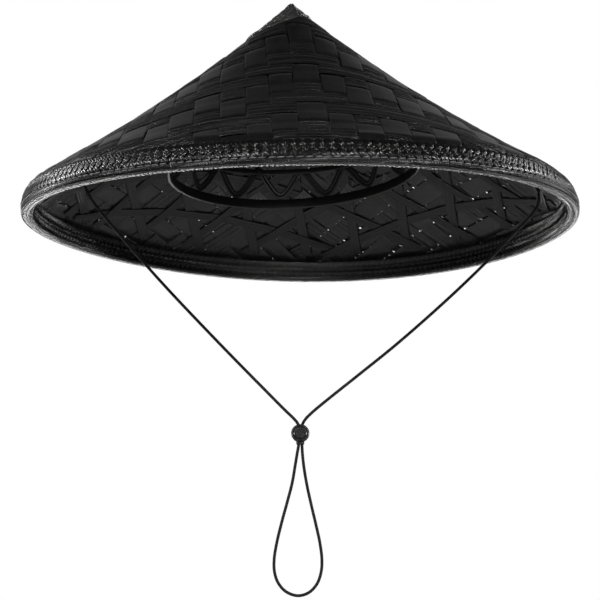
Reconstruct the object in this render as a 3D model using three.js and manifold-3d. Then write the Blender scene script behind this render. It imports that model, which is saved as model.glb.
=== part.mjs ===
// Conical hat of black-dyed bamboo with a head ring inside and an adjustable chin cord.
// Millimetres. +Z runs up the cone's axis, the wearer faces -Y, and the origin is the head
// seat: the point of the axis at the level of the head ring's lower hoop.
import * as THREE from "three";
import { mergeVertices } from "three/addons/utils/BufferGeometryUtils.js";
import Module from "manifold-3d";

const wasm = await Module();
wasm.setup();

// Driving dimensions of the cone. Heights are counted from the rim's lower edge.
const RIM_RADIUS = 210;
const CONE_RADIUS = 209; // where the cone's own curve would end without the turned-down rim
const CONE_HEIGHT = 176;
const CONE_FOOT_HEIGHT = 17;
const CONE_SAG = 7.8; // how far the cone's side hollows below a straight line
const SHELL_THICKNESS = 1.2;
const SEAT_HEIGHT = 46; // of the head seat above the rim's lower edge
const SHELL_RADII = [30, 62, 94, 126, 158, 180]; // where the cone's curve has its corners
const SHELL_TIP_THICKNESS = 1.7;
const AROUND = 48; // facets round the cone
const GAP = 0.3; // between pieces that touch

// A hand-woven cone isn't true: its tip leans and its rim rises at the sides.
const TIP_LEAN = -6.9;
const RIM_SADDLE = 3.6;
const RIM_TWIST = -1.5;

// The lining: a lattice of strips in three directions with six-sided holes.
const LATTICE_STRIP_WIDTH = 8.5;
const LATTICE_STRIP_THICKNESS = 1.0;
const LATTICE_DEPTH = 1.9; // of its outer face below the shell's outer face
const LATTICE_PITCH = 47;
const LATTICE_ROWS = 5;
const LATTICE_DIRECTIONS = 5;
const LATTICE_TURN = THREE.MathUtils.degToRad(45.6);
const LATTICE_SECTOR = 300 / 360; // five sixths of a flat lattice closes up into the cone
const LATTICE_EDGE_RADIUS = 197;
const LATTICE_RADII = [15, 60, 110, 160, LATTICE_EDGE_RADIUS];
const LATTICE_CUT = 8; // how far a hole's prism reaches each side of the shell's outer face

// The rim: a plaited band outside and inside, over two hoops, with an edge binding.
const RIM_SHELL_EDGE = [
  [199, 23.2],
  [203.5, 19],
  [206, 14],
  [207.1, 9],
  [207.1, 3.4],
];
const OUTER_BRAID_START = [204.75, 16.5]; // on the shell's outer face, where the band begins
const OUTER_BRAID_THICKNESS = 2.6;
const OUTER_BRAID_TAPER = 0.8; // share of the thickness that stands up at the braid's top edge
const INNER_BRAID_THICKNESS = 1.8;
const INNER_BRAID_EDGE = [
  [200.2, 15.5],
  [201.2, 12],
  [202.9, 0.4],
];
const HOOP_BOTTOM = 1.7;
const HOOP_TOP = 7;
const OUTER_HOOP_THICKNESS = 1.2;
const INNER_HOOP_THICKNESS = 2.4;
const BINDING_TOP = 1.4;
const BINDING_INNER_RADIUS = 203.6;
const BINDING_OUTER_RADIUS = 209.8;
const FOOT_BRAID_TOP = 4.2;
const THREAD_SIZE = 0.7;
const THREAD_OUTER_RADIUS = 209.8;

// The tip: a wound cap, and the knot that ends its winding.
const CAP_RADII = [12, 25];
const CAP_CLEARANCE = 0.4;
const CAP_TOP = 2;
const CAP_TIP_BOTTOM = 0.6;
const CAP_TIP_TOP = 2.8;
const APEX_KNOT_RADIUS = 2.6;
const APEX_KNOT_STRETCH = [1.25, 0.8, 0.8];
const APEX_KNOT_REACH = 16; // distance from the tip's axis
const APEX_KNOT_SIDE = 6;
const APEX_KNOT_LIFT = 4.6;

// The head ring: two hoops joined by upright bent strips, tied up under the lining.
const RING_RADIUS = 97.4;
const RING_OFFSET = -4.2; // sideways, because the ring is tied in by hand
const RING_BOTTOM = -3.15;
const RING_ROLL = -0.057;
const RING_PITCH = -0.067;
const LOWER_HOOP_HEIGHT = 7.8;
const LOWER_HOOP_THICKNESS = 2.2;
const UPPER_HOOP_RADIUS = 90.3;
const UPPER_HOOP_BOTTOM = 26.6;
const UPPER_HOOP_TOP = 31;
const UPPER_HOOP_THICKNESS = 1.8;
const LOOPS = 16;
const LOOP_STRIP_WIDTH = 5.4;
const LOOP_STRIP_THICKNESS = 1.0;
const LOOP_STEPS = 12;
const LOOP_SPACING = 0.8; // between neighbouring bent strips
const LOOP_CLEARANCE = 0.4; // above the lower hoop
const LOOP_STANDOFF = 0.9; // outside the upper hoop
const LOOP_ROUNDING = 0.45; // 0 would bend a strip to a sharp V
const RING_TURN = -0.079; // of the bent strips and the ties about the ring's axis
const LASHINGS = 8;
const LASHING_WIDTH = 5;
const LASHING_THICKNESS = 1.2;
const LASHING_TOP_RADIUS = 100;
const LASHING_STANDOFF = 2.4; // outside the upper hoop
const LASHING_OVERLAP = 1; // above and below the upper hoop
const LASHING_TOP_GAP = 2.2; // below the lining's outer face

// The chin cord, its two knots and the lock that slides on it.
const CORD_DIAMETER = 2.3;
const CORD_SIDES = 8;
const LEG_STEPS = 26;
const LOOP_CORD_STEPS = 28;
const KNOT_RADIUS = 2.6;
const KNOT_FACETS = [12, 8];
const LEFT_KNOT = [-165, 0, -5.2];
const RIGHT_KNOT = [181.5, 0, -16.8];
const LOCK_CENTRE = [0, 0, -203.2];
const LOCK_RADIUS = 6.9;
const LOCK_FRONT = -6.2;
const LOCK_BACK = 6.6;
const LOCK_SHOULDERS = [
  [5.7, LOCK_FRONT],
  [6.5, -4.6],
  [LOCK_RADIUS, -2],
  [LOCK_RADIUS, 1.6],
  [6.2, 4.2],
  [4.2, 6],
]; // [radius, depth] pairs of the ball
const LOCK_BORE_RADIUS = 4.8;
const LOCK_BORE_END = 5.0;
const LOCK_COLLAR_RADIUS = 3.1;
const LOCK_COLLAR_BOTTOM = -8.4;
const LOCK_SLOT_WIDTH = 4.9;
const LOCK_SLOT_DEPTH = 2.4;
const BUTTON_RADIUS = 4.5;
const BUTTON_FRONT = -9.2;
const BUTTON_END = 1.4;
const BUTTON_CROWN = [
  [3.2, BUTTON_FRONT + 0.1],
  [4.2, BUTTON_FRONT + 0.7],
  [BUTTON_RADIUS, BUTTON_FRONT + 1.6],
];
const BUTTON_SLOT_DEPTH = 3.4;
const BUTTON_SLOT_CENTRE = -1.9;
const SPRING_RADIUS = 2.6;
const SPRING_WIRE = 0.4;
const SPRING_TURNS = 3;
const SPRING_STEPS_PER_TURN = 8;

// Routes of the cord's three stretches, from the knots to the lock and round the loop.
const LEFT_LEG_ROUTE = [
  [-165, 0, -8.1],
  [-164.4, 0, -12.5],
  [-161.5, 0, -20],
  [-154.4, 0, -31],
  [-143, 0, -45],
  [-131, 0, -59],
  [-117.5, 0, -74.6],
  [-98, 0, -96.2],
  [-75, 0, -120.6],
  [-50, 0, -146.6],
  [-28, 0, -169],
  [-12, 0, -185.2],
  [-4.6, 0, -192.4],
  [-1.7, 0, -196],
];
const RIGHT_LEG_ROUTE = [
  [181.5, 0, -19.7],
  [181.8, 0, -23.5],
  [180.4, 0, -29.8],
  [175.5, 0, -37],
  [165.4, 0, -47.6],
  [153.6, 0, -60],
  [141.2, 0, -72.8],
  [120, 0, -93.4],
  [96, 0, -115.4],
  [70, 0, -138],
  [44, 0, -159],
  [20, 0, -178.2],
  [9, 0, -187.4],
  [4.1, 0, -192.3],
  [1.7, 0, -196],
];
const LOOP_ROUTE = [
  [-1.2, 0, -211.9],
  [-2.1, 0, -217],
  [-3.7, 0, -226.6],
  [-6, 0, -240],
  [-9.6, 0, -254],
  [-13.7, 0, -269],
  [-17.3, 0, -284],
  [-19.2, 0, -296],
  [-19, 0, -305],
  [-16.4, 0, -313],
  [-10.6, 0, -319.6],
  [-2, 0, -322.6],
  [6.2, 0, -320.4],
  [12.4, 0, -313.8],
  [15.4, 0, -305],
  [15.9, 0, -296],
  [14.5, 0, -284.4],
  [11.7, 0, -271.4],
  [8.3, 0, -257],
  [5, 0, -242],
  [2.6, 0, -227.6],
  [1.6, 0, -218],
  [1.2, 0, -211.9],
];

const MATERIALS = {
  shell: material(0x232323, 0.42),
  lining: material(0x262626, 0.5),
  braid: material(0x1c1c1c, 0.3),
  hoop: material(0x161616, 0.4),
  cord: material(0x141414, 0.75),
  plastic: material(0x1e1e20, 0.5),
  steel: material(0x9a9a9a, 0.3, 1),
};

function material(color, roughness, metalness = 0) {
  return new THREE.MeshStandardMaterial({ color, roughness, metalness });
}

function namedMesh(name, geometry, finish) {
  const made = new THREE.Mesh(geometry, finish);
  made.name = name;
  return made;
}

// Height of the cone's outer face at a distance from its axis, and its steepness there.
function coneHeight(radius) {
  const share = radius / CONE_RADIUS;
  const rise = (CONE_HEIGHT - CONE_FOOT_HEIGHT) * (1 - share);
  return CONE_FOOT_HEIGHT + rise - 4 * CONE_SAG * share * (1 - share);
}

function coneSlope(radius) {
  const share = radius / CONE_RADIUS;
  const fall = -(CONE_HEIGHT - CONE_FOOT_HEIGHT) - 4 * CONE_SAG * (1 - 2 * share);
  return fall / CONE_RADIUS;
}

// A point of the cone's wall as [radius, height], at a depth below its outer face.
function conePoint(radius, depth) {
  const slope = coneSlope(radius);
  const length = Math.hypot(1, slope);
  return [radius + (depth * slope) / length, coneHeight(radius) - depth / length];
}

// Moves a point counted from the true cone's rim to where the leaning, warped hat has it.
function seatPoint(point) {
  const saddle = RIM_SADDLE * (point.x ** 2 - point.y ** 2);
  const twist = 2 * RIM_TWIST * point.x * point.y;
  const lift = (saddle + twist) / RIM_RADIUS ** 2;
  const lean = (TIP_LEAN * point.z) / CONE_HEIGHT;
  return point.set(point.x + lean, point.y, point.z + lift - SEAT_HEIGHT);
}

function seat(geometry) {
  const place = geometry.getAttribute("position");
  const point = new THREE.Vector3();
  for (let i = 0; i < place.count; i++) {
    seatPoint(point.fromBufferAttribute(place, i));
    place.setXYZ(i, point.x, point.y, point.z);
  }
  return geometry;
}

// A profile of [radius, height] pairs turned about +Z.
function turned(profile, segments = AROUND) {
  const points = profile.map(([radius, height]) => new THREE.Vector2(radius, height));
  return new THREE.LatheGeometry(points, segments).rotateX(Math.PI / 2);
}

// A ring whose section is the closed outline of the given [radius, height] pairs.
function ring(outline, segments = AROUND) {
  return turned([...outline, outline[0]], segments);
}

function boxRing(inner, outer, bottom, top) {
  return ring([
    [outer, bottom],
    [outer, top],
    [inner, top],
    [inner, bottom],
  ]);
}

// A closed solid through rings of corner points, with flat ends.
function loft(rings) {
  const corners = rings[0].length;
  const index = [];
  for (let i = 0; i + 1 < rings.length; i++) {
    for (let j = 0; j < corners; j++) {
      const a = i * corners + j;
      const b = i * corners + ((j + 1) % corners);
      index.push(a, b, b + corners, a, b + corners, a + corners);
    }
  }
  const last = (rings.length - 1) * corners;
  for (let j = 1; j + 1 < corners; j++) {
    index.push(0, j + 1, j);
    index.push(last, last + j, last + j + 1);
  }
  const geometry = new THREE.BufferGeometry().setFromPoints(rings.flat());
  return geometry.setIndex(index);
}

function solidOf(geometry) {
  const bare = new THREE.BufferGeometry();
  bare.setAttribute("position", geometry.getAttribute("position"));
  bare.setIndex(geometry.getIndex());
  const merged = mergeVertices(bare, 1e-4);
  return new wasm.Manifold(
    new wasm.Mesh({
      numProp: 3,
      vertProperties: merged.getAttribute("position").array,
      triVerts: new Uint32Array(merged.getIndex().array),
    }),
  );
}

function geometryOf(solid) {
  const mesh = solid.getMesh();
  const geometry = new THREE.BufferGeometry();
  geometry.setAttribute("position", new THREE.BufferAttribute(mesh.vertProperties, 3));
  geometry.setIndex(new THREE.BufferAttribute(mesh.triVerts, 1));
  return geometry;
}

// The woven cone: a thin shell whose foot turns down between the rim's hoops.
function wovenShell() {
  const outside = SHELL_RADII.map((radius) => conePoint(radius, 0));
  const inside = SHELL_RADII.map((radius) => conePoint(radius, SHELL_THICKNESS));
  const edge = RIM_SHELL_EDGE;
  const edgeInside = edge.map(([radius, height]) => [
    radius - SHELL_THICKNESS,
    height - (height > HOOP_TOP ? SHELL_THICKNESS / 2 : 0),
  ]);
  const profile = [
    [0, coneHeight(0) - SHELL_TIP_THICKNESS],
    ...inside,
    ...edgeInside,
    ...[...edge].reverse(),
    ...[...outside].reverse(),
    [0, coneHeight(0)],
  ];
  return seat(turned(profile));
}

// A point of the flat lattice, at a distance and an angle from its centre, rolled onto the cone.
function latticePoint(distance, angle, depth) {
  const slant = Math.hypot(CONE_RADIUS, CONE_HEIGHT - CONE_FOOT_HEIGHT);
  const [radius, height] = conePoint((distance * CONE_RADIUS) / slant, depth);
  const azimuth = LATTICE_TURN + angle / LATTICE_SECTOR;
  return new THREE.Vector3(radius * Math.cos(azimuth), radius * Math.sin(azimuth), height);
}

// The prism that cuts one six-sided hole, whose centre is given in the flat lattice.
function latticeHole(centre) {
  const circumradius = (LATTICE_PITCH - LATTICE_STRIP_WIDTH) / Math.sqrt(3);
  const rings = [LATTICE_CUT, -LATTICE_CUT].map((depth) =>
    Array.from({ length: 6 }, (_, i) => {
      const turn = Math.PI / 6 + (i * Math.PI) / 3;
      const corner = new THREE.Vector2(Math.cos(turn), Math.sin(turn));
      corner.multiplyScalar(circumradius).add(centre);
      return latticePoint(corner.length(), Math.atan2(corner.y, corner.x), depth);
    }),
  );
  return loft(rings);
}

// The woven lining as one sheet, with the lattice's six-sided holes cut through it.
function liningLattice() {
  const face = (depth) => LATTICE_RADII.map((radius) => conePoint(radius, depth));
  const inside = face(LATTICE_DEPTH + LATTICE_STRIP_THICKNESS);
  let sheet = solidOf(ring([...inside, ...face(LATTICE_DEPTH).reverse()]));
  const spacing = (2 * LATTICE_PITCH) / Math.sqrt(3);
  const low = new THREE.Vector2(Math.cos(-Math.PI / 6), Math.sin(-Math.PI / 6));
  const high = new THREE.Vector2(Math.cos(Math.PI / 6), Math.sin(Math.PI / 6));
  const holes = [];
  for (let i = 1; i < LATTICE_ROWS; i++) {
    for (let j = 0; i + j < LATTICE_ROWS; j++) {
      const centre = low.clone().multiplyScalar(i).addScaledVector(high, j);
      holes.push(latticeHole(centre.multiplyScalar(spacing)));
    }
  }
  for (let turn = 0; turn < LATTICE_DIRECTIONS; turn++) {
    for (const hole of holes) {
      const cut = hole.clone().rotateZ((turn * 2 * Math.PI) / LATTICE_DIRECTIONS);
      sheet = sheet.subtract(solidOf(cut));
    }
  }
  return seat(geometryOf(sheet));
}

// The plaited band over the outside of the rim, a little proud of the shell.
function outerBraid() {
  const below = RIM_SHELL_EDGE.filter(
    ([, height]) => height > HOOP_TOP && height < OUTER_BRAID_START[1],
  );
  const edge = [OUTER_BRAID_START, ...below];
  const near = edge.map(([radius, height]) => [radius + GAP, height + GAP]);
  const overHoop = edge.at(-1)[0] + OUTER_HOOP_THICKNESS + 2 * GAP;
  const far = edge.map(([radius, height], i) => {
    const up = OUTER_BRAID_TAPER * (1 - i / (edge.length - 1));
    return [radius + OUTER_BRAID_THICKNESS, height + GAP + OUTER_BRAID_THICKNESS * up];
  });
  for (const height of [HOOP_TOP + 2 * GAP, FOOT_BRAID_TOP + THREAD_SIZE + 2 * GAP]) {
    near.push([overHoop, height]);
    far.push([RIM_RADIUS, height]);
  }
  return seat(ring([...near, ...far.reverse()]));
}

// The plaited band inside the rim, below the lattice's ends and down over the inner hoop.
function innerBraid() {
  const outside = [...INNER_BRAID_EDGE];
  const inside = outside.map(([radius, height]) => [radius - INNER_BRAID_THICKNESS, height]);
  return seat(ring([...inside, ...outside.reverse()]));
}

function rim() {
  const edge = RIM_SHELL_EDGE.at(-1)[0];
  const inner = edge - SHELL_THICKNESS - GAP;
  const outer = edge + GAP;
  const group = new THREE.Group();
  group.add(namedMesh("rim_braid_outer", outerBraid(), MATERIALS.braid));
  group.add(namedMesh("rim_braid_inner", innerBraid(), MATERIALS.braid));
  const outerHoop = boxRing(outer, outer + OUTER_HOOP_THICKNESS, HOOP_BOTTOM, HOOP_TOP);
  group.add(namedMesh("rim_hoop_outer", seat(outerHoop), MATERIALS.hoop));
  const innerHoop = boxRing(inner - INNER_HOOP_THICKNESS, inner, HOOP_BOTTOM, HOOP_TOP);
  group.add(namedMesh("rim_hoop_inner", seat(innerHoop), MATERIALS.hoop));
  const footInner = outer + OUTER_HOOP_THICKNESS + GAP;
  const foot = boxRing(footInner, RIM_RADIUS, HOOP_BOTTOM, FOOT_BRAID_TOP);
  group.add(namedMesh("rim_braid_foot", seat(foot), MATERIALS.braid));
  const binding = boxRing(BINDING_INNER_RADIUS, BINDING_OUTER_RADIUS, 0, BINDING_TOP);
  group.add(namedMesh("rim_edge_binding", seat(binding), MATERIALS.braid));
  const threadInner = THREAD_OUTER_RADIUS - THREAD_SIZE;
  const threadBottom = FOOT_BRAID_TOP + GAP;
  const threadTop = threadBottom + THREAD_SIZE;
  const thread = boxRing(threadInner, THREAD_OUTER_RADIUS, threadBottom, threadTop);
  group.add(namedMesh("rim_sewing_thread", seat(thread), MATERIALS.cord));
  return group;
}

// The wrapped cap over the tip, and the little knot that ends its winding.
function apex() {
  const inside = CAP_RADII.map((radius) => conePoint(radius, -CAP_CLEARANCE));
  const outside = CAP_RADII.map((radius) => conePoint(radius, -CAP_TOP));
  const profile = [
    [0, coneHeight(0) + CAP_TIP_BOTTOM],
    ...inside,
    ...outside.reverse(),
    [0, coneHeight(0) + CAP_TIP_TOP],
  ];
  const group = new THREE.Group();
  group.add(namedMesh("apex_cap", seat(turned(profile)), MATERIALS.shell));
  const knot = new THREE.SphereGeometry(APEX_KNOT_RADIUS, ...KNOT_FACETS);
  knot.scale(...APEX_KNOT_STRETCH);
  const [radius, height] = conePoint(APEX_KNOT_REACH, -APEX_KNOT_LIFT);
  const forward = Math.sqrt(radius ** 2 - APEX_KNOT_SIDE ** 2);
  knot.translate(APEX_KNOT_SIDE, -forward, height);
  group.add(namedMesh("apex_knot", seat(knot), MATERIALS.shell));
  return group;
}

// Radius of the wall that the ring's bent strips stand in, at a height above its lower edge.
function loopWallRadius(height) {
  const share = (height - LOWER_HOOP_HEIGHT) / (UPPER_HOOP_BOTTOM - LOWER_HOOP_HEIGHT);
  const bottom = RING_RADIUS - LOWER_HOOP_THICKNESS / 2;
  const top = UPPER_HOOP_RADIUS + LOOP_STANDOFF;
  return bottom + (top - bottom) * Math.min(share, 1);
}

// A flat strip bent to a round-bottomed V that stands on the lower hoop.
function ringLoop(azimuth) {
  const pitch = (2 * Math.PI * UPPER_HOOP_RADIUS) / LOOPS;
  const halfSpan = (pitch - LOOP_STRIP_WIDTH - LOOP_SPACING) / 2;
  const bottom = LOWER_HOOP_HEIGHT + LOOP_CLEARANCE + LOOP_STRIP_WIDTH / 2;
  const rise = UPPER_HOOP_TOP - bottom;
  const place = (side, height, depth) => {
    const radius = loopWallRadius(height) + depth;
    const angle = azimuth + side / UPPER_HOOP_RADIUS;
    return new THREE.Vector3(radius * Math.cos(angle), radius * Math.sin(angle), height);
  };
  const half = LOOP_STRIP_WIDTH / 2;
  const rings = [];
  const round = LOOP_ROUNDING;
  const fullRise = Math.hypot(1, round) - round;
  for (let i = 0; i <= LOOP_STEPS; i++) {
    const share = (2 * i) / LOOP_STEPS - 1;
    const side = halfSpan * share;
    const height = bottom + (rise * (Math.hypot(share, round) - round)) / fullRise;
    const steepness = (rise * share) / (Math.hypot(share, round) * fullRise * halfSpan);
    const across = new THREE.Vector2(steepness, -1).normalize().multiplyScalar(half);
    rings.push([
      place(side - across.x, height - across.y, 0),
      place(side - across.x, height - across.y, LOOP_STRIP_THICKNESS),
      place(side + across.x, height + across.y, LOOP_STRIP_THICKNESS),
      place(side + across.x, height + across.y, 0),
    ]);
  }
  return loft(rings);
}

function headRing() {
  const group = new THREE.Group();
  const lower = boxRing(RING_RADIUS - LOWER_HOOP_THICKNESS, RING_RADIUS, 0, LOWER_HOOP_HEIGHT);
  group.add(namedMesh("ring_hoop_lower", lower, MATERIALS.hoop));
  const upperInner = UPPER_HOOP_RADIUS - UPPER_HOOP_THICKNESS;
  const upper = boxRing(upperInner, UPPER_HOOP_RADIUS, UPPER_HOOP_BOTTOM, UPPER_HOOP_TOP);
  group.add(namedMesh("ring_hoop_upper", upper, MATERIALS.hoop));
  for (let i = 0; i < LOOPS; i++) {
    const name = "ring_loop_" + String(i + 1).padStart(2, "0");
    const azimuth = ((i + 0.5) * 2 * Math.PI) / LOOPS + RING_TURN;
    group.add(namedMesh(name, ringLoop(azimuth), MATERIALS.hoop));
  }
  group.position.set(RING_OFFSET, 0, RING_BOTTOM);
  group.rotation.set(RING_PITCH, RING_ROLL, 0);
  return group;
}

// A strip that ties the ring's upper hoop up to the lining.
function lashing(azimuth, ringToPart) {
  const half = LASHING_WIDTH / 2;
  const lowRadius = UPPER_HOOP_RADIUS + LASHING_STANDOFF;
  const place = (radius, side, height) => {
    const x = radius * Math.cos(azimuth) - side * Math.sin(azimuth);
    const y = radius * Math.sin(azimuth) + side * Math.cos(azimuth);
    return new THREE.Vector3(x, y, height);
  };
  const low = (depth, side, height) =>
    place(lowRadius + depth, side, height).applyMatrix4(ringToPart);
  const topDepth = LATTICE_DEPTH + LASHING_TOP_GAP;
  const [topRadius, topHeight] = conePoint(LASHING_TOP_RADIUS, topDepth);
  const high = (depth, side, drop) => seatPoint(place(topRadius + depth, side, topHeight - drop));
  const section = (corner, ...heights) => [
    corner(0, half, heights[0]),
    corner(0, -half, heights[0]),
    corner(LASHING_THICKNESS, -half, heights.at(-1)),
    corner(LASHING_THICKNESS, half, heights.at(-1)),
  ];
  return loft([
    section(low, UPPER_HOOP_BOTTOM - LASHING_OVERLAP),
    section(low, UPPER_HOOP_TOP + LASHING_OVERLAP),
    section(high, 0, LASHING_THICKNESS),
  ]);
}

function lashings(ringToPart) {
  const group = new THREE.Group();
  for (let i = 0; i < LASHINGS; i++) {
    const azimuth = ((i + 0.5) * 2 * Math.PI) / LASHINGS + RING_TURN;
    const geometry = lashing(azimuth, ringToPart);
    group.add(namedMesh("ring_lashing_" + (i + 1), geometry, MATERIALS.lining));
  }
  return group;
}

// A cord's solid: a tube of the cord's diameter along its route.
function cordTube(route, steps) {
  const path = new THREE.CatmullRomCurve3(
    route.map((point) => new THREE.Vector3(...point)),
    false,
    "centripetal",
  );
  const section = new THREE.Shape();
  for (let i = 0; i < CORD_SIDES; i++) {
    const angle = (2 * Math.PI * (i + 0.5)) / CORD_SIDES;
    const radius = CORD_DIAMETER / 2;
    section[i ? "lineTo" : "moveTo"](radius * Math.cos(angle), radius * Math.sin(angle));
  }
  return new THREE.ExtrudeGeometry(section, { steps, bevelEnabled: false, extrudePath: path });
}

function chinCord() {
  const group = new THREE.Group();
  const left = cordTube(LEFT_LEG_ROUTE, LEG_STEPS);
  group.add(namedMesh("chin_cord_left", left, MATERIALS.cord));
  const right = cordTube(RIGHT_LEG_ROUTE, LEG_STEPS);
  group.add(namedMesh("chin_cord_right", right, MATERIALS.cord));
  const loop = cordTube(LOOP_ROUTE, LOOP_CORD_STEPS);
  group.add(namedMesh("chin_cord_loop", loop, MATERIALS.cord));
  const knots = { cord_anchor_left: LEFT_KNOT, cord_anchor_right: RIGHT_KNOT };
  for (const [name, centre] of Object.entries(knots)) {
    const knot = new THREE.SphereGeometry(KNOT_RADIUS, ...KNOT_FACETS);
    group.add(namedMesh(name, knot.translate(...centre), MATERIALS.cord));
  }
  return group;
}

// A profile of [radius, depth] pairs turned about the lock's front-to-back axis.
function turnedAboutY(profile) {
  const points = profile.map(([radius, depth]) => new THREE.Vector2(radius, depth));
  return new THREE.LatheGeometry(points, 24);
}

function cordSlot(depth, centre) {
  const long = 4 * LOCK_RADIUS;
  return new THREE.BoxGeometry(LOCK_SLOT_WIDTH, depth, long).translate(0, centre, 0);
}

// The lock's ball, bored for its button and slotted for the two runs of cord.
function lockHousing() {
  const ball = solidOf(turnedAboutY([[0, LOCK_FRONT], ...LOCK_SHOULDERS, [0, LOCK_BACK]]));
  const radius = LOCK_COLLAR_RADIUS;
  const collar = new THREE.CylinderGeometry(radius, radius, -LOCK_COLLAR_BOTTOM, 20);
  collar.rotateX(Math.PI / 2).translate(0, 0, LOCK_COLLAR_BOTTOM / 2);
  const bore = turnedAboutY([
    [0, LOCK_FRONT - 1],
    [LOCK_BORE_RADIUS, LOCK_FRONT - 1],
    [LOCK_BORE_RADIUS, LOCK_BORE_END],
    [0, LOCK_BORE_END],
  ]);
  const body = ball.add(solidOf(collar)).subtract(solidOf(bore));
  return geometryOf(body.subtract(solidOf(cordSlot(LOCK_SLOT_DEPTH, 0))));
}

function lockButton() {
  const plunger = turnedAboutY([
    [0, BUTTON_FRONT],
    ...BUTTON_CROWN,
    [BUTTON_RADIUS, BUTTON_END],
    [0, BUTTON_END],
  ]);
  const slot = cordSlot(BUTTON_SLOT_DEPTH, BUTTON_SLOT_CENTRE);
  return geometryOf(solidOf(plunger).subtract(solidOf(slot)));
}

function lockSpring() {
  const start = BUTTON_END + GAP + SPRING_WIRE / 2;
  const length = LOCK_BORE_END - GAP - SPRING_WIRE / 2 - start;
  const steps = SPRING_TURNS * SPRING_STEPS_PER_TURN;
  const points = [];
  for (let i = 0; i <= steps; i++) {
    const angle = (2 * Math.PI * i) / SPRING_STEPS_PER_TURN;
    const x = SPRING_RADIUS * Math.cos(angle);
    const z = SPRING_RADIUS * Math.sin(angle);
    points.push(new THREE.Vector3(x, start + (length * i) / steps, z));
  }
  const section = new THREE.Shape();
  section.absarc(0, 0, SPRING_WIRE / 2, 0, 2 * Math.PI);
  return new THREE.ExtrudeGeometry(section, {
    steps,
    curveSegments: 4,
    bevelEnabled: false,
    extrudePath: new THREE.CatmullRomCurve3(points),
  });
}

function cordLock() {
  const group = new THREE.Group();
  group.add(namedMesh("lock_housing", lockHousing(), MATERIALS.plastic));
  group.add(namedMesh("lock_button", lockButton(), MATERIALS.plastic));
  group.add(namedMesh("lock_spring", lockSpring(), MATERIALS.steel));
  group.position.set(...LOCK_CENTRE);
  return group;
}

const group = new THREE.Group();
group.add(namedMesh("woven_shell", wovenShell(), MATERIALS.shell));
group.add(namedMesh("lining_lattice", liningLattice(), MATERIALS.lining));
group.add(rim());
group.add(apex());
const ringGroup = headRing();
group.add(ringGroup);
ringGroup.updateMatrix();
group.add(lashings(ringGroup.matrix));
group.add(chinCord());
group.add(cordLock());

export default group;
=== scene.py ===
"""A conical hat of black-dyed bamboo: woven cone, latticed lining, plaited rim, head ring
and an elastic chin cord with a ball lock. Shapes are worked out in millimetres, in the
CAD model's frame, and meshes are made in metres."""
import math

import bmesh
import bpy
import numpy as np
from mathutils import Matrix, Vector


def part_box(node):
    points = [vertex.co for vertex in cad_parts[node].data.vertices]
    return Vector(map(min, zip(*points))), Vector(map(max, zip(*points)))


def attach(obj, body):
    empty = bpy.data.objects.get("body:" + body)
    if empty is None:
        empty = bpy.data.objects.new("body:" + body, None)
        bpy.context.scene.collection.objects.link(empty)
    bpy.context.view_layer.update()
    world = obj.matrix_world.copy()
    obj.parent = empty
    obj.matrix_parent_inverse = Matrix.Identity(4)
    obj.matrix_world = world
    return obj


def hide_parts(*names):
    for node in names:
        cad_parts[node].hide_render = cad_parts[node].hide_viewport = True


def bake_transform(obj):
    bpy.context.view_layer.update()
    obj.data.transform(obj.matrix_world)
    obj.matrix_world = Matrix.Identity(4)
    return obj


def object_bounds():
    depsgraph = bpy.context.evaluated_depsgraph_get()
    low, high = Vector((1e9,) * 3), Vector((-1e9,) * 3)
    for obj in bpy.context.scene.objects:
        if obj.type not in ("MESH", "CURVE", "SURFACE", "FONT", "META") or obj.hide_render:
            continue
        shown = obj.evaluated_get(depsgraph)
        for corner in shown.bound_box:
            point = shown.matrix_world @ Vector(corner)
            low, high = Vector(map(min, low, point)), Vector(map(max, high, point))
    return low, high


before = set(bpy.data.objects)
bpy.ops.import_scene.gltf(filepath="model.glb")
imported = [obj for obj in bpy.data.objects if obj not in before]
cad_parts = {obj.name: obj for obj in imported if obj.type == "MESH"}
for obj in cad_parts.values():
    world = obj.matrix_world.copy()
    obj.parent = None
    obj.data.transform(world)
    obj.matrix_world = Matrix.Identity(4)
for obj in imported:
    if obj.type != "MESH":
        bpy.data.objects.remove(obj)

CAD_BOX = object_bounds()
MM = 0.001
TURN = 2 * math.pi

# Driving dimensions of the cone, as in the CAD model. Heights count from the rim's lower edge.
CONE_RADIUS = 209
CONE_HEIGHT = 176
CONE_FOOT_HEIGHT = 17
CONE_SAG = 7.8
SEAT_HEIGHT = 46
RIM_RADIUS = 210
TIP_LEAN = -6.9
RIM_SADDLE = 3.6
RIM_TWIST = -1.5
CONE_END_RADIUS = 195
RIM_SHELL_EDGE = [(199, 23.2), (203.5, 19), (206, 14), (207.1, 9), (207.1, 3.4)]

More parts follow.
